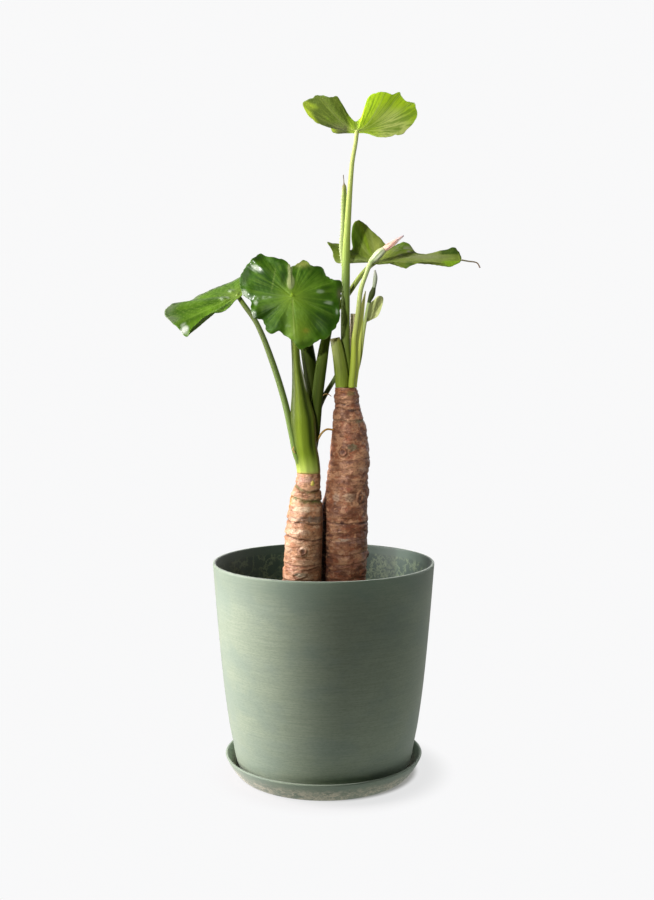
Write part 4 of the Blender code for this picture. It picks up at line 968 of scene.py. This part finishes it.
def blade(
    name, joint, tip_way, face_way, outline, ribs, look, finish, rays, rings,
    quilt, pucker=0.8, teeth=0.8, crumple=0.9, pleat=1.6, folds=(), shines=(),
):
    """ribs: (angle at the joint, turn per 80 mm, strength). look gives the paint. folds: (across,
    along, length, width, lean, rise). shines: polished patches, (across, along, radius)."""
    along = np.array(tip_way, float)
    along /= np.linalg.norm(along)
    up = np.array(face_way, float)
    up -= along * (up @ along)
    up /= np.linalg.norm(up)
    across = np.cross(up, along)
    outline = np.array(outline, float)
    count = len(outline)
    angle = np.radians(outline[:, 0])
    margin = np.column_stack([outline[:, 1] * np.cos(angle), outline[:, 1] * np.sin(angle), outline[:, 2]])
    order = np.arange(-2, count + 3)
    loop = margin[order % count]
    rows = 2 * rings + 1

    def form(turn, row):
        under = row > rings
        share = np.where(under, rows - row, row) / rings
        # The margin on each point's ray: its place, its lift, and that lift without the waves
        at = count * turn / math.tau
        a, b, lift = through(order.astype(float), loop, at).T
        around = [through(order.astype(float), loop, (at + shift) % count)[:, 2] for shift in range(-3, 4)]
        calm = sum(around) / len(around)
        whole = np.hypot(a, b)
        # Small notches along the margin
        edge = np.column_stack([a, b, 0 * a])
        notch = unit_noise(edge / (6.5, 6.5, 1), 43) + 0.6 * unit_noise(edge / (2.6, 2.6, 1), 44)
        notch = np.minimum(notch, 0.15) - 0.15
        share = share * (1 + teeth * notch * share**8 * rise(whole, 10, 30) / np.maximum(whole, 20))
        flat_a, flat_b = a * share, b * share
        reach = np.hypot(flat_a, flat_b)
        bearing = np.degrees(np.arctan2(flat_b, flat_a))
        # Ribs, with how far each point lies from the nearest one and how far out along it
        rib = np.zeros(len(row))
        nearest = np.full(len(row), 99.0)
        beside = np.zeros(len(row))
        for degree, turning, strength in ribs:
            off = (bearing - degree - turning * reach / 80 + 180) % 360 - 180
            apart = np.where(abs(off) < 80, reach * np.sin(np.radians(np.clip(off, -80, 80))), 99.0)
            width = 0.55 + 0.75 * (1 - reach / 90)
            rib = np.maximum(rib, strength * bell(apart, width) * (1 - 0.6 * rise(share, 0.6, 1.0)))
            closer = abs(apart) < abs(nearest)
            nearest = np.where(closer, apart, nearest)
            beside = np.where(closer, reach, beside)
        # Side veins that leave the ribs at a slant
        bent = 1.6 * unit_noise(np.column_stack([flat_a, flat_b, 0 * a]) / (11, 11, 1), 45)
        wave = np.cos((beside - 0.75 * abs(nearest) + bent) / 6.4 * math.tau)
        between = rise(abs(nearest), 0.6, 3.5) * rise(reach, 6, 18)
        twig = rise(wave, 0.8, 1.0) * between * (1 - rise(share, 0.85, 1.0))
        flat = np.column_stack([flat_a, flat_b, np.zeros(len(row))])
        # The margin's waves, quilting, valleys along the ribs, dents and folds
        lift = calm * share**1.6 + (lift - calm) * share**pleat - quilt * wave * between
        lift = lift - pucker * bell(nearest, 4.5) * rise(reach, 2, 16) * (1 - 0.5 * share)
        lift += 0.35 * pucker * unit_noise(flat / (9, 9, 1), 41) * rise(reach, 4, 20)
        lift += crumple * unit_noise(flat / (7.5, 7.5, 1), 42) * rise(share, 0.75, 1.0)
        for at_b, at_a, long, wide, lean, high in folds:
            lean = math.radians(lean)
            u = (flat_b - at_b) * math.cos(lean) + (flat_a - at_a) * math.sin(lean)
            v = (flat_a - at_a) * math.cos(lean) - (flat_b - at_b) * math.sin(lean)
            lift += high * oval(u, v, long, wide)
        shine = np.zeros(len(row)) + 0.04
        for at_b, at_a, wide in shines:
            shine += np.exp(-((flat_b - at_b) ** 2 + (flat_a - at_a) ** 2) / wide**2)
        thick = 0.9 - 0.45 * rise(share, 0.85, 1.0) + 0.9 * (1 - rise(reach, 0, 6))
        ridge = rib * (1 - 0.6 * share)
        lower = -thick / 2 - 0.8 * ridge - 0.15 * twig
        upper = thick / 2 - 0.3 * ridge - 0.1 * twig
        lift = lift + np.where(under, lower, upper)
        places = np.array(joint) + flat_a[:, None] * along + flat_b[:, None] * across + lift[:, None] * up
        paint = look(places, flat, share, reach, bearing, under, rib, twig)
        return places, {"paint": paint, "grain": flat / 10, "shine": np.clip(shine, 0, 1) * (1 - under)}

    return rolled(name, rays, rows, form, finish, name)


def leaf_finish(name, roughness, gloss, coat, dark, pale, glow=0.0):
    """Leaf skin: the painted ribs and patches, with fine mottling and a waxy gloss. A glow gives it a painted
    glow in place of light coming through the leaf.
    """
    skin = Finish(name, Specular_IOR_Level=gloss, Coat_Roughness=0.2)
    paint = skin.kept("paint", "Vector")
    fine = skin.noise(skin.kept("grain", "Vector"), 9.0, 4.0, 0.65)
    broad = skin.noise(skin.kept("grain", "Vector"), 1.6, 3.0, 0.6)
    colour = skin.mix(fine.step(0.5, 0.75) * 0.22, paint, pale)
    colour = skin.mix((1.0 - fine.step(0.28, 0.48)) * 0.25, colour, dark)
    colour = skin.mix(broad.step(0.52, 0.75) * 0.22, colour, dark)
    shine = skin.kept("shine")
    skin.wear(Base_Color=colour, Normal=skin.bump(fine, 0.0005, 0.3), Coat_Weight=shine * coat)
    skin.wear(Roughness=roughness - shine * 0.2 + fine * 0.1)
    skin.glow(colour, glow)
    return skin.material


def near(places, x, z, wide, high):
    """A soft patch round a place seen from the front."""
    return oval(places[:, 0] - x, places[:, 2] - z, wide, high)


def spots(places, *marks):
    """Layers of soft patches seen from the front: (colour, x, z, wide, high, strength)."""
    return [(colour, near(places, *place) * strength) for colour, *place, strength in marks]


def tone(flat, wide, fine, share, seed):
    """Broad and fine clouds of light and dark over a blade."""
    broad = unit_noise(flat / (wide, wide, 1), seed)
    return broad + share * unit_noise(flat / (fine, fine, 1), seed + 1)


def rays_of(bearing, reach, degrees, length, seed):
    """Streaks that run out from the joint."""
    return unit_noise(np.column_stack([bearing / degrees, reach / length, 0 * reach]), seed)


# Painted shade: the dark green laid on the front leaf where its hollows and turned-away parts fall in shade
HOLLOW_SHADE = (0.009, 0.026, 0.002)
# Painted highlights on the front leaf: (across, along, wide, high, lean, strength) of pale patches where the
# lamps' glints fall
PAINTED_HIGHLIGHTS = (
    (-42, -41, 9, 4.5, 0.5, 0.8), (-56, -9, 4, 5, 1.0, 0.6), (-44, 3, 3, 4, 0.0, 0.5),
    (-47, 19, 3, 5, 0.0, 0.5), (33, -7, 5, 3, 0.0, 0.3), (43, 7, 7, 2, 0.1, 0.4), (52, 19, 2, 3, 0.0, 0.4),
)


def front_leaf_look(places, flat, share, reach, bearing, under, rib, twig):
    x, z = places[:, 0], places[:, 2]
    a, b = flat[:, 0], flat[:, 1]
    stops = ((-1.2, (0.018, 0.06, 0.002)), (0, (0.032, 0.093, 0.003)), (1.2, (0.054, 0.134, 0.005)))
    fan = rays_of(bearing, reach, 3.0, 40, 53)
    hair = rays_of(bearing, reach, 1.3, 22, 54)
    inner = rise(reach, 3, 14) * (1 - rise(share, 0.7, 0.97))
    down = bell(b - 4, 15) * rise(a, 2, 16) * rise(62 - a, 0, 12)
    midrib = bell(b, 0.8) * rise(a, 0, 6) * rise(60 - a, 0, 25)
    lobe_vein = bell(x + 59 - 0.16 * (z - 612), 0.9) * rise(z, 588, 600) * rise(624 - z, 0, 8)
    dots = rise(np.cos(z * 2.1), -0.2, 0.8)
    fold = near(places, -27, 626, 10, 4.5) * rise(z, 612, 620)
    lining = near(places, -39.4, 603, 5.2, 9.5) + near(places, -40.5, 621, 3.0, 8)
    paint = layered(
        ramp(tone(flat, 13, 5, 0.5, 51), *stops),
        ((0.085, 0.17, 0.014), rise(fan, 0.1, 0.55) * inner * 0.5),
        ((0.016, 0.05, 0.004), rise(-fan, 0.15, 0.6) * inner * 0.45),
        ((0.11, 0.2, 0.02), rise(hair, 0.2, 0.6) * inner * 0.4),
        ((0.012, 0.04, 0.003), rise(-hair, 0.25, 0.65) * inner * 0.5),
        ((0.14, 0.235, 0.014), bell(reach, 17) * 0.9),
        ((0.105, 0.2, 0.012), down * 0.7),
        *spots(
            places,
            ((0.09, 0.18, 0.012), -12, 592, 18, 14, 0.35),
            ((0.08, 0.165, 0.012), -68, 583, 13, 6, 0.7),
            ((0.16, 0.25, 0.018), -29, 545, 12, 14, 0.6),
            ((0.25, 0.17, 0.02), -21, 545, 3.5, 2.5, 0.5),
            (HOLLOW_SHADE, 3, 558, 11, 10, 0.6),
            (HOLLOW_SHADE, -68, 570, 8, 8, 0.5),
            (HOLLOW_SHADE, -48, 610, 4, 13, 0.75),
            (HOLLOW_SHADE, 4, 614, 8, 5, 0.6),
            (HOLLOW_SHADE, -80, 634, 8, 4, 0.85),
            (HOLLOW_SHADE, -95, 608, 5, 12, 0.7),
            (HOLLOW_SHADE, -22, 530, 14, 4, 0.3),
            (HOLLOW_SHADE, -74, 600, 12, 8, 0.35),
            (HOLLOW_SHADE, 20, 590, 5, 16, 0.4),
        ),
        ((0.1, 0.19, 0.02), rib * 0.12),
        ((0.28, 0.36, 0.08), midrib * 0.55),
        ((0.2, 0.27, 0.07), lobe_vein * (0.15 + 0.5 * dots)),
        ((0.25, 0.27, 0.06), fold * 0.8),
        ((0.22, 0.265, 0.1), rise(lining, 0.3, 0.65) * (1 - under)),
        ((0.2, 0.17, 0.1), near(places, 19, 590, 3, 6) * 0.5),
    )
    # Painted highlights: pale grey-green laid over the coat's own gloss
    for at_b, at_a, wide, high, lean, pale in PAINTED_HIGHLIGHTS:
        patch = oval(b - at_b, a - at_a - lean * (b - at_b), wide, high)
        paint = mixed(paint, (0.42, 0.47, 0.38), rise(patch + 0.2 * hair + 0.1 * fan, 0.2, 0.9) * pale)
    rim = rise(share, 0.975, 1.0) * rise(x, -85, -60)
    return layered(paint, ((0.16, 0.2, 0.05), rim * 0.5), ((0.12, 0.19, 0.04), under * 0.7))


FRONT_OUTLINE = [
    (180, 7, -1), (180.8, 15, -3), (181.6, 28, -4.8), (181.6, 41, -7.8), (175, 44, -8), (168, 48, -8),
    (162, 53, -9), (149, 49, -7), (138, 55, -12), (124, 51, -7), (114, 58, -10), (111, 64, -13),
    (98, 60, -14), (79, 57, -8), (64, 62, -12), (47, 63, -8), (36, 63, -11), (27, 61, -7), (14, 63, -7),
    (5, 64, -5), (-3, 54, -4), (-15, 47, -8), (-24, 44, -4), (-32, 52, -2), (-45, 49, -7), (-58, 44, -10),
    (-65, 53, -5), (-76, 53, -4), (-89, 50, -8), (-99, 61, -8), (-109, 67, -11), (-118, 71, -12),
    (-130, 71, -9), (-140, 71, -7), (-149, 74, -12), (-154, 62, -7), (-162, 57, -6), (-170, 52, -7),
    (-175, 47, -6.5), (-178.8, 43, -5.5), (-179.2, 28, -2.6), (-179, 15, -1.5),
]
FRONT_RIBS = [
    (3, 2, 1.0), (30, 26, 0.6), (62, 22, 0.6), (96, 16, 0.6), (134, 10, 0.6), (-28, -24, 0.6),
    (-62, -22, 0.6), (-96, -16, 0.6), (-134, -10, 0.9),
]
front_leaf_skin = leaf_finish("front_leaf_skin", 0.5, 0.12, 0.55, (0.01, 0.03, 0.002), (0.07, 0.15, 0.015))
blade(
    "leaf_front", (-37, -24, 585), (0.05, -0.3, -0.95), (0, -0.95, 0.3), FRONT_OUTLINE, FRONT_RIBS,
    front_leaf_look, front_leaf_skin, 320, 62,
    quilt=0.04, pucker=0.22, teeth=1.6, crumple=1.9, pleat=4.5,
    folds=(
        (-40, -45, 11, 5, 32, 2.0), (-52, -14, 5, 8, 0, 1.6), (-42, 0, 4, 5, 0, 1.2),
        (-44, 15, 4, 7, 0, 1.6), (36, -10, 7, 5, 0, 1.5), (47, 4, 9, 4, 0, 1.6), (55, 17, 4, 5, 0, 1.4),
        (-2, -18, 4.5, 9, 0, 1.6), (24, 33, 9, 11, 40, -1.8), (-31, 17, 11, 6, -10, -1.6),
        (4, 45, 7, 12, 0, 1.3), (-20, -34, 8, 13, 20, -1.3), (20, -30, 9, 12, 30, 1.3),
        (46, -22, 10, 7, 10, -1.3), (-16, 30, 12, 7, 40, 1.2), (12, 16, 12, 6, 20, 0.9),
    ),
    shines=((-42, -41, 10), (-56, -9, 8), (-44, 3, 6), (-47, 19, 7), (33, -7, 8), (43, 7, 9), (52, 20, 6)),
)


def top_leaf_look(places, flat, share, reach, bearing, under, rib, twig):
    x, z = places[:, 0], places[:, 2]
    # Painted shade and light: the left lobe is painted dark olive over a bright lime base, as the light falls
    # through the right lobe and not the left
    left = rise(36 - x, 0, 10)
    right = 1 - left
    lime = rise(821 - 0.5 * (x + 25) - z, 0, 6) * rise(share, 0.78, 0.93)
    streaks = rays_of(bearing, reach, 4.5, 30, 63)
    hair = rays_of(bearing, reach, 1.6, 18, 64)
    rim = rise(share, 0.972, 0.995) * rise(x, 60, 80) * rise(804 - z, 0, 8)
    return layered(
        ramp(tone(flat, 15, 5, 0.6, 61), (-1.2, (0.36, 0.56, 0.012)), (1.2, (0.5, 0.74, 0.025))),
        ((0.62, 0.7, 0.2), rise(near(places, 92, 793, 34, 16), 0.2, 0.9) * 0.85),
        ((0.028, 0.044, 0.004), left * 0.97),
        ((0.1, 0.1, 0.045), left * near(places, 14, 787, 24, 4) * 0.8),
        ((0.22, 0.3, 0.012), lime * left * 0.8),
        ((0.2, 0.34, 0.02), rise(streaks, 0.1, 0.5) * rise(reach, 4, 20) * 0.6 * right),
        ((0.02, 0.035, 0.003), rise(streaks, 0.1, 0.7) * rise(reach, 4, 20) * 0.5 * left),
        ((0.16, 0.3, 0.012), rise(hair, 0.1, 0.5) * rise(reach, 8, 26) * 0.6 * right),
        ((0.12, 0.16, 0.02), rise(-hair, 0.2, 0.6) * rise(reach, 8, 26) * 0.4 * left),
        ((0.08, 0.13, 0.01), bell(reach, 22) * rise(z, 784, 790) * 0.6),
        ((0.5, 0.6, 0.1), twig * 0.12 * right),
        ((0.62, 0.7, 0.22), rib * 0.45 * right),
        ((0.15, 0.17, 0.05), rib * 0.4 * left),
        ((0.13, 0.11, 0.09), bell(reach, 8) * 0.6),
        ((0.07, 0.035, 0.02), near(places, 112, 798, 3.5, 3.5)),
        ((0.22, 0.1, 0.04), rim * 0.7),
        ((0.07, 0.15, 0.008), (1 - under) * 0.8),
    )


TOP_OUTLINE = [
    (-138, 9, 9), (-117, 20, 12), (-115, 33, 22), (-112, 41, 31), (-104, 47, 35), (-93, 51, 36),
    (-80, 52, 34), (-68, 57, 39), (-58, 56, 33), (-46, 61, 28), (-30, 72, 29), (-16, 83, 23),
    (-7, 93, 17), (-2, 95, 11), (3, 92, 3), (9, 91, -4), (14, 88, -2), (20, 87, -5), (28, 79, -4),
    (38, 72, 2), (55, 63, 2), (76, 59, 3), (86, 54, 11), (105, 56, 13), (119, 59, 20), (136, 63, 34),
    (148, 54, 38), (161, 46, 41), (178, 42, 37), (190, 36, 36), (195, 30, 28), (197, 21, 19),
    (207, 12, 11),
]
TOP_RIBS = [
    (0, 4, 1.0), (-26, -14, 0.7), (-54, -16, 0.7), (-84, -12, 0.7), (28, 14, 0.7), (58, 14, 0.6),
    (92, 12, 0.6), (126, 10, 0.7), (160, 6, 0.8),
]
# Painted glow: the top leaf gives off light, in place of the light that comes through it
top_leaf_skin = leaf_finish("top_leaf_skin", 0.5, 0.15, 0.3, (0.14, 0.26, 0.01), (0.45, 0.62, 0.08), 0.45)
blade(
    "leaf_top", (40, -4, 784.5), (0.75, 0.65, 0.12), (-0.05, -0.1, 1), TOP_OUTLINE, TOP_RIBS,
    top_leaf_look, top_leaf_skin, 300, 56, quilt=0.08, crumple=1.2,
)


def left_leaf_look(places, flat, share, reach, bearing, under, rib, twig):
    a, b = flat[:, 0], flat[:, 1]
    stops = ((-1.2, (0.05, 0.12, 0.006)), (0, (0.085, 0.18, 0.009)), (1.2, (0.115, 0.235, 0.013)))
    upper = rise(-b, 2, 12)
    bands = rays_of(bearing, reach, 5, 26, 73)
    # Painted highlight: the whitish glint at the leaf's tip
    tip = near(places, -164, 546, 7, 8) + 0.25 * rays_of(bearing, reach, 2.5, 20, 74)
    # Painted highlights: pale glints on the upper face
    highlight_spots = ((-14, 2, 5, 2.2), (-7, 18, 6, 2.2), (-4, 11, 4, 2))
    patches = (oval(b - at_b, a - at_a, wide, high) for at_b, at_a, wide, high in highlight_spots)
    return layered(
        ramp(tone(flat, 14, 5, 0.6, 71), *stops),
        # Painted shade: the upper band is painted darker, with a painted grey sheen along its ridge
        ((0.03, 0.08, 0.005), upper * 0.45),
        ((0.13, 0.15, 0.1), rise(share, 0.8, 0.97) * upper * 0.6),
        ((0.12, 0.17, 0.03), bell(reach, 18) * 0.6),
        ((0.03, 0.08, 0.004), rise(bands, 0.1, 0.6) * rise(reach, 5, 20) * 0.6),
        ((0.16, 0.25, 0.04), twig * 0.45),
        ((0.17, 0.26, 0.05), rib * 0.35),
        ((0.72, 0.76, 0.66), rise(tip, 0.35, 0.8)),
        *(((0.4, 0.46, 0.34), rise(patch, 0.3, 0.9) * 0.4) for patch in patches),
        ((0.09, 0.17, 0.02), under * 0.6),
    )


LEFT_OUTLINE = [
    (-200, 8, 1), (-171, 23, -4), (-150, 39, -3), (-128, 42, -3), (-111, 41, -6), (-95, 43, -7),
    (-77, 47, -6), (-57, 56, -5), (-47, 61, -4), (-39, 68, 1), (-34, 76, 6), (-28, 82, 9), (-22, 87, 11),
    (-17, 90, 10), (-10, 88, 8), (-1, 86, 5), (10, 85, -4), (13, 77, 3), (17, 68, 9), (21, 61, 12),
    (27, 52, 12), (33, 46, 8), (38, 39, 6), (42, 29, 4), (50, 15, 2), (110, 8, 1),
]
LEFT_RIBS = [(-6, 4, 1.0), (14, 3, 0.6), (-34, -6, 0.6), (-64, -10, 0.6), (-100, -10, 0.6)]
left_leaf_skin = leaf_finish("left_leaf_skin", 0.52, 0.12, 0.4, (0.03, 0.08, 0.004), (0.14, 0.24, 0.03))
blade(
    "leaf_left", (-104.5, -6, 588.5), (-0.8, -0.35, -0.5), (-0.2, -0.6, 0.75), LEFT_OUTLINE, LEFT_RIBS,
    left_leaf_look, left_leaf_skin, 240, 50, quilt=0.07, pucker=0.3, teeth=1.0, crumple=0.6,
    folds=(
        (-12, 0, 6, 4, 0, 1.4), (-4, 16, 6, 4, 0, 1.4), (-18, 38, 6, 14, 20, 1.0), (16, 40, 6, 14, -20, 1.0),
    ),
    shines=((-14, 2, 7), (-7, 18, 7)),
)


def right_leaf_look(places, flat, share, reach, bearing, under, rib, twig):
    x, z = places[:, 0], places[:, 2]
    stripes = rays_of(bearing, reach, 4, 30, 83)
    crease = bell(x - (46 + (679 - z) * 0.3), 2.2) * rise(z, 632, 646)
    # Painted sheen: grey streaks where the leaf reflects the light
    grey_sheen = rise(unit_noise(np.column_stack([x / 5, z / 1.6, 0 * x]), 84), -0.1, 0.4)
    wedge = rise(z, 638, 639.6) * rise(x, 138, 146) * rise(z - 630 - 0.35 * (160 - x), 0, 3)
    below = rise(631.5 - z, 0, 2) * rise(x, 140, 150)
    return layered(
        ramp(tone(flat, 12, 4, 0.6, 81), (-1.2, (0.09, 0.13, 0.01)), (1.2, (0.17, 0.23, 0.03))),
        ((0.27, 0.32, 0.09), rise(stripes, 0.1, 0.7) * 0.5),
        ((0.06, 0.095, 0.008), rise(-stripes, 0.15, 0.6) * 0.45),
        ((0.33, 0.38, 0.08), near(places, 67, 650, 11, 14) * 0.85),
        ((0.066, 0.14, 0.005), rise(near(places, 37, 662, 13, 20), 0.15, 0.75) * 0.92),
        ((0.035, 0.06, 0.004), near(places, 40, 642, 14, 8) * 0.6),
        ((0.16, 0.25, 0.01), crease * 0.85),
        ((0.3, 0.36, 0.14), near(places, 40, 631, 22, 3) * 0.6),
        ((0.06, 0.12, 0.01), near(places, 97, 652, 12, 7) * 0.85),
        ((0.25, 0.23, 0.19), near(places, 102, 644, 13, 6) * grey_sheen * 0.8),
        ((0.04, 0.08, 0.01), rise(near(places, 103, 624, 7, 6), 0.3, 0.8) * 0.85),
        ((0.2, 0.215, 0.11), near(places, 125, 636, 26, 5) * 0.75),
        ((0.02, 0.05, 0.003), wedge * 0.92),
        ((0.16, 0.29, 0.01), below * 0.9),
        *spots(
            places,
            ((0.035, 0.065, 0.006), 9, 647, 12, 7, 0.85),
            ((0.16, 0.2, 0.02), 18, 638, 9, 8, 0.3),
            ((0.09, 0.13, 0.012), 14, 638, 7, 8, 0.5),
        ),
        ((0.24, 0.3, 0.08), rib * 0.35),
        ((0.2, 0.25, 0.06), twig * 0.15),
        ((0.13, 0.17, 0.03), rise(share, 0.97, 1.0) * 0.5),
        ((0.16, 0.22, 0.05), under * 0.3),
    )


RIGHT_OUTLINE = [
    (156, 37, 12), (140, 45, 29), (131, 50, 42), (122, 51, 47), (113, 47, 42), (102, 41, 32),
    (89, 38, 25), (76, 36, 17), (64, 37, 15), (54, 41, 18), (45, 45, 20), (38, 48, 16), (30, 54, 7),
    (23, 67, 5), (17, 79, 5), (14, 86, 10), (10, 96, 13), (5, 100, 7), (1, 101, 0), (-3, 95, -4),
    (-6, 87, -6), (-8, 79, -2), (-12, 64, 0), (-19, 50, -1), (-26, 44, -4), (-31, 40, -7), (-35, 34, -4),
    (-41, 26, 1), (-57, 21, -1), (-86, 16, -3), (-122, 16, -1), (-158, 21, 2), (-170, 34, 0),
    (-172, 43, -2), (-174, 51, -1), (-177, 55, 6), (-183, 59, 16), (-187, 63, 22), (-192, 57, 21),
    (-197, 48, 19),
]
RIGHT_RIBS = [
    (2, 0, 1.0), (40, 6, 0.7), (72, 6, 0.7), (104, 6, 0.8), (130, 4, 0.7), (160, 0, 0.7), (-170, 0, 0.8),
    (-60, -8, 0.6), (-25, -4, 0.6),
]
# A faint painted glow on the right leaf
right_leaf_skin = leaf_finish(
    "right_leaf_skin", 0.55, 0.08, 0.2, (0.04, 0.075, 0.005), (0.28, 0.34, 0.1), 0.08
)
blade(
    "leaf_right", (66.4, 14, 631), (1, -0.1, 0), (0, -0.2, 1), RIGHT_OUTLINE, RIGHT_RIBS,
    right_leaf_look, right_leaf_skin, 280, 50, quilt=0.12, pucker=0.6, teeth=1.2, crumple=1.2,
)


def small_leaf_look(places, flat, share, reach, bearing, under, rib, twig):
    clouds = unit_noise(flat / (5, 5, 1), 91)
    return layered(
        ramp(clouds, (-1, (0.3, 0.34, 0.11)), (1, (0.4, 0.44, 0.17))),
        ((0.2, 0.23, 0.09), rib * 0.5),
        ((0.38, 0.42, 0.2), rise(share, 0.9, 1.0) * 0.5),
    )


SMALL_OUTLINE = [
    (-174, 4, 0), (-76, 5, 2), (-45, 12, 4), (-21, 20, 3), (-8, 29, -1), (-1, 32, -3), (8, 30, -3),
    (14, 24, -3), (23, 19, -2), (36, 10, -1),
]
SMALL_RIBS = [(0, 0, 0.8), (16, 8, 0.5), (-16, -8, 0.5), (-40, -8, 0.4)]
# Painted light: the small leaf is painted bright and given a painted glow
small_leaf_skin = leaf_finish("small_leaf_skin", 0.55, 0.3, 0.0, (0.24, 0.28, 0.06), (0.58, 0.62, 0.28), 0.32)
blade(
    "leaf_small", (54.8, 25, 562), (0.55, 0, 0.85), (0.1, -1, 0), SMALL_OUTLINE, SMALL_RIBS,
    small_leaf_look, small_leaf_skin, 120, 30, quilt=0.1, pucker=0.4, teeth=0.3,
)


# Dry tip of the right leaf, and the rolled young leaf that stands against the top stalk: its blade
# is wound round itself, with the free edge rippled, and ends in a dry brown whip.
RIGHT_LEAF_TIP = [(166.5, 5.0, 631.4, 1.0), (175, 6, 630, 0.9), (186, 6, 628, 0.8), (189.9, 5, 622, 0.84)]
tip_skin = green_finish("dry_tip_skin", 0.6, 0.3, 0.3, (0.08, 0.05, 0.03), (0.3, 0.28, 0.18))
stalk("leaf_right_tip", RIGHT_LEAF_TIP, scurfed((0.2, 0.2, 0.1), (0.16, 0.09, 0.06), 0.3), tip_skin, 16, 50)

ROLLED_TOP = [
    (24.5, 8, 622, 2.2), (23.2, 7, 645, 4.0), (24.2, 7, 668, 3.5), (24.6, 7, 697, 3.2),
    (24.9, 6, 714, 2.9), (24.9, 6, 720, 2.3), (24.6, 6, 723, 0.8), (23.8, 5, 733, 0.5),
]


def young_edge(degrees, height):
    return bell(degrees + 150, 14) * rise(718 - height, 0, 8)


def young_groove(degrees, height):
    return bell(degrees + 60, 16) * rise(720 - height, 0, 8)


young_stops = (
    (622, (0.3, 0.36, 0.12)), (660, (0.2, 0.26, 0.075)), (710, (0.2, 0.27, 0.05)), (719, (0.2, 0.2, 0.06)),
    (722, (0.16, 0.13, 0.08)), (733, (0.12, 0.09, 0.06)),
)
young_bands = (((0.4, 0.46, 0.22), 0.8, young_edge), ((0.12, 0.19, 0.03), 0.6, young_groove))
young_look = shaded(young_stops, *young_bands, by_height=True)


def young_swell(degrees, share, centre):
    height = centre[:, 2]
    ripple = bell(degrees + 160, 22) * (0.5 + 0.45 * np.sin(height * 1.6)) * rise(716 - height, 0, 10)
    groove = bell(degrees + 75, 10) * rise(720 - height, 0, 10)
    return ripple - 0.7 * groove


stalk("leaf_rolled_top", ROLLED_TOP, young_look, pale_skin, 56, 220, form=young_swell)


# Studio: a pale paper floor, a large soft lamp at the left, a narrow lamp on the plant from the
# front left, and a surround that is bright behind the plant. None of it belongs to the object, and
# its places and sizes are in metres.
bpy.ops.object.select_all(action="DESELECT")
bpy.ops.mesh.primitive_circle_add(vertices=96, radius=14, fill_type="NGON")
floor = bpy.context.active_object
floor.name = "floor"
sweep = Finish("floor_paper", Roughness=0.9, Specular_IOR_Level=0.0)
seen = sweep.node("ShaderNodeLightPath", {}, {}, "Is Camera Ray")
sweep.wear(Base_Color=sweep.mix(seen, (0.25, 0.25, 0.25), (0.56, 0.56, 0.56)))
shadow_centre = (0.008, 0.004, 0)
reach = sweep.vector("LENGTH", sweep.vector("SUBTRACT", sweep.place(), shadow_centre), out="Value")
near_pot = 1.0 - reach.step(0.18, 0.45)
shadow = 0.2 + reach.step(0.1025, 0.112) * 0.58 + reach.step(0.118, 0.16) * 0.22
glow = (1.0 - seen) * (0.05 + near_pot * 0.4) + seen * shadow
sky = sweep.node("ShaderNodeEmission", {}, {"Color": (0.945, 0.945, 0.95, 1), "Strength": 1.0})
blended = sweep.node("ShaderNodeMixShader", {}, {0: glow, 2: sky})
sweep.tree.links.new(sweep.shader.outputs[0], blended.socket.node.inputs[1])
sweep.tree.links.new(blended.socket, sweep.tree.nodes["Material Output"].inputs[0])
floor.data.materials.append(sweep.material)

world = bpy.data.worlds.new("studio")
bpy.context.scene.world = world
world.use_nodes = True
surround = Nodes(world.node_tree)
facing = surround.node("ShaderNodeTexCoord", {}, {}, "Generated")
behind = surround.vector("DOT_PRODUCT", facing, (0.5, 0.85, 0.1), out="Value")
bounds = {"Value": behind, "From Min": 0.25, "From Max": 0.9, "To Min": 0.02, "To Max": 1.5}
back = surround.node("ShaderNodeMapRange", {}, bounds)
watched = surround.node("ShaderNodeLightPath", {}, {}, "Is Camera Ray")
strength = surround.node("ShaderNodeMix", {}, {0: watched, 2: back, 3: 0.945})
sky_light = world.node_tree.nodes["Background"]
world.node_tree.links.new(strength.socket, sky_light.inputs["Strength"])
sky_light.inputs["Color"].default_value = (1.0, 1.0, 1.005, 1)


def lamp(name, kind, place, target, power):
    """A lamp that faces its target."""
    bpy.ops.object.light_add(type=kind, location=place)
    made = bpy.context.active_object
    made.name = name
    made.data.energy = power
    way = np.array(target) - np.array(place)
    pan = math.atan2(way[1], way[0]) - math.pi / 2
    tilt = math.atan2(way[2], math.hypot(way[0], way[1])) + math.pi / 2
    made.rotation_euler = (tilt, 0, pan)
    return made.data


key = lamp("key_light", "AREA", (-1.5, -0.05, 0.9), (0, 0, 0.42), 80)
key.shape = "RECTANGLE"
key.size, key.size_y = 1.0, 1.3
key.color = (1.0, 0.92, 0.95)
beam = lamp("plant_light", "SPOT", (-1.0, -2.2, 1.3), (0, 0, 0.575), 240)
beam.spot_size = math.radians(14.1)
beam.spot_blend = 0.03
beam.shadow_soft_size = 0.07

bpy.ops.object.camera_add(location=(0.0041, -1.3736, 0.5086), rotation=(math.radians(85.5), 0, 0))
camera = bpy.context.active_object
camera.data.sensor_fit = "VERTICAL"
camera.data.sensor_height = 36
camera.data.lens = 45
bpy.context.scene.camera = camera
bpy.context.scene.view_settings.view_transform = "Standard"
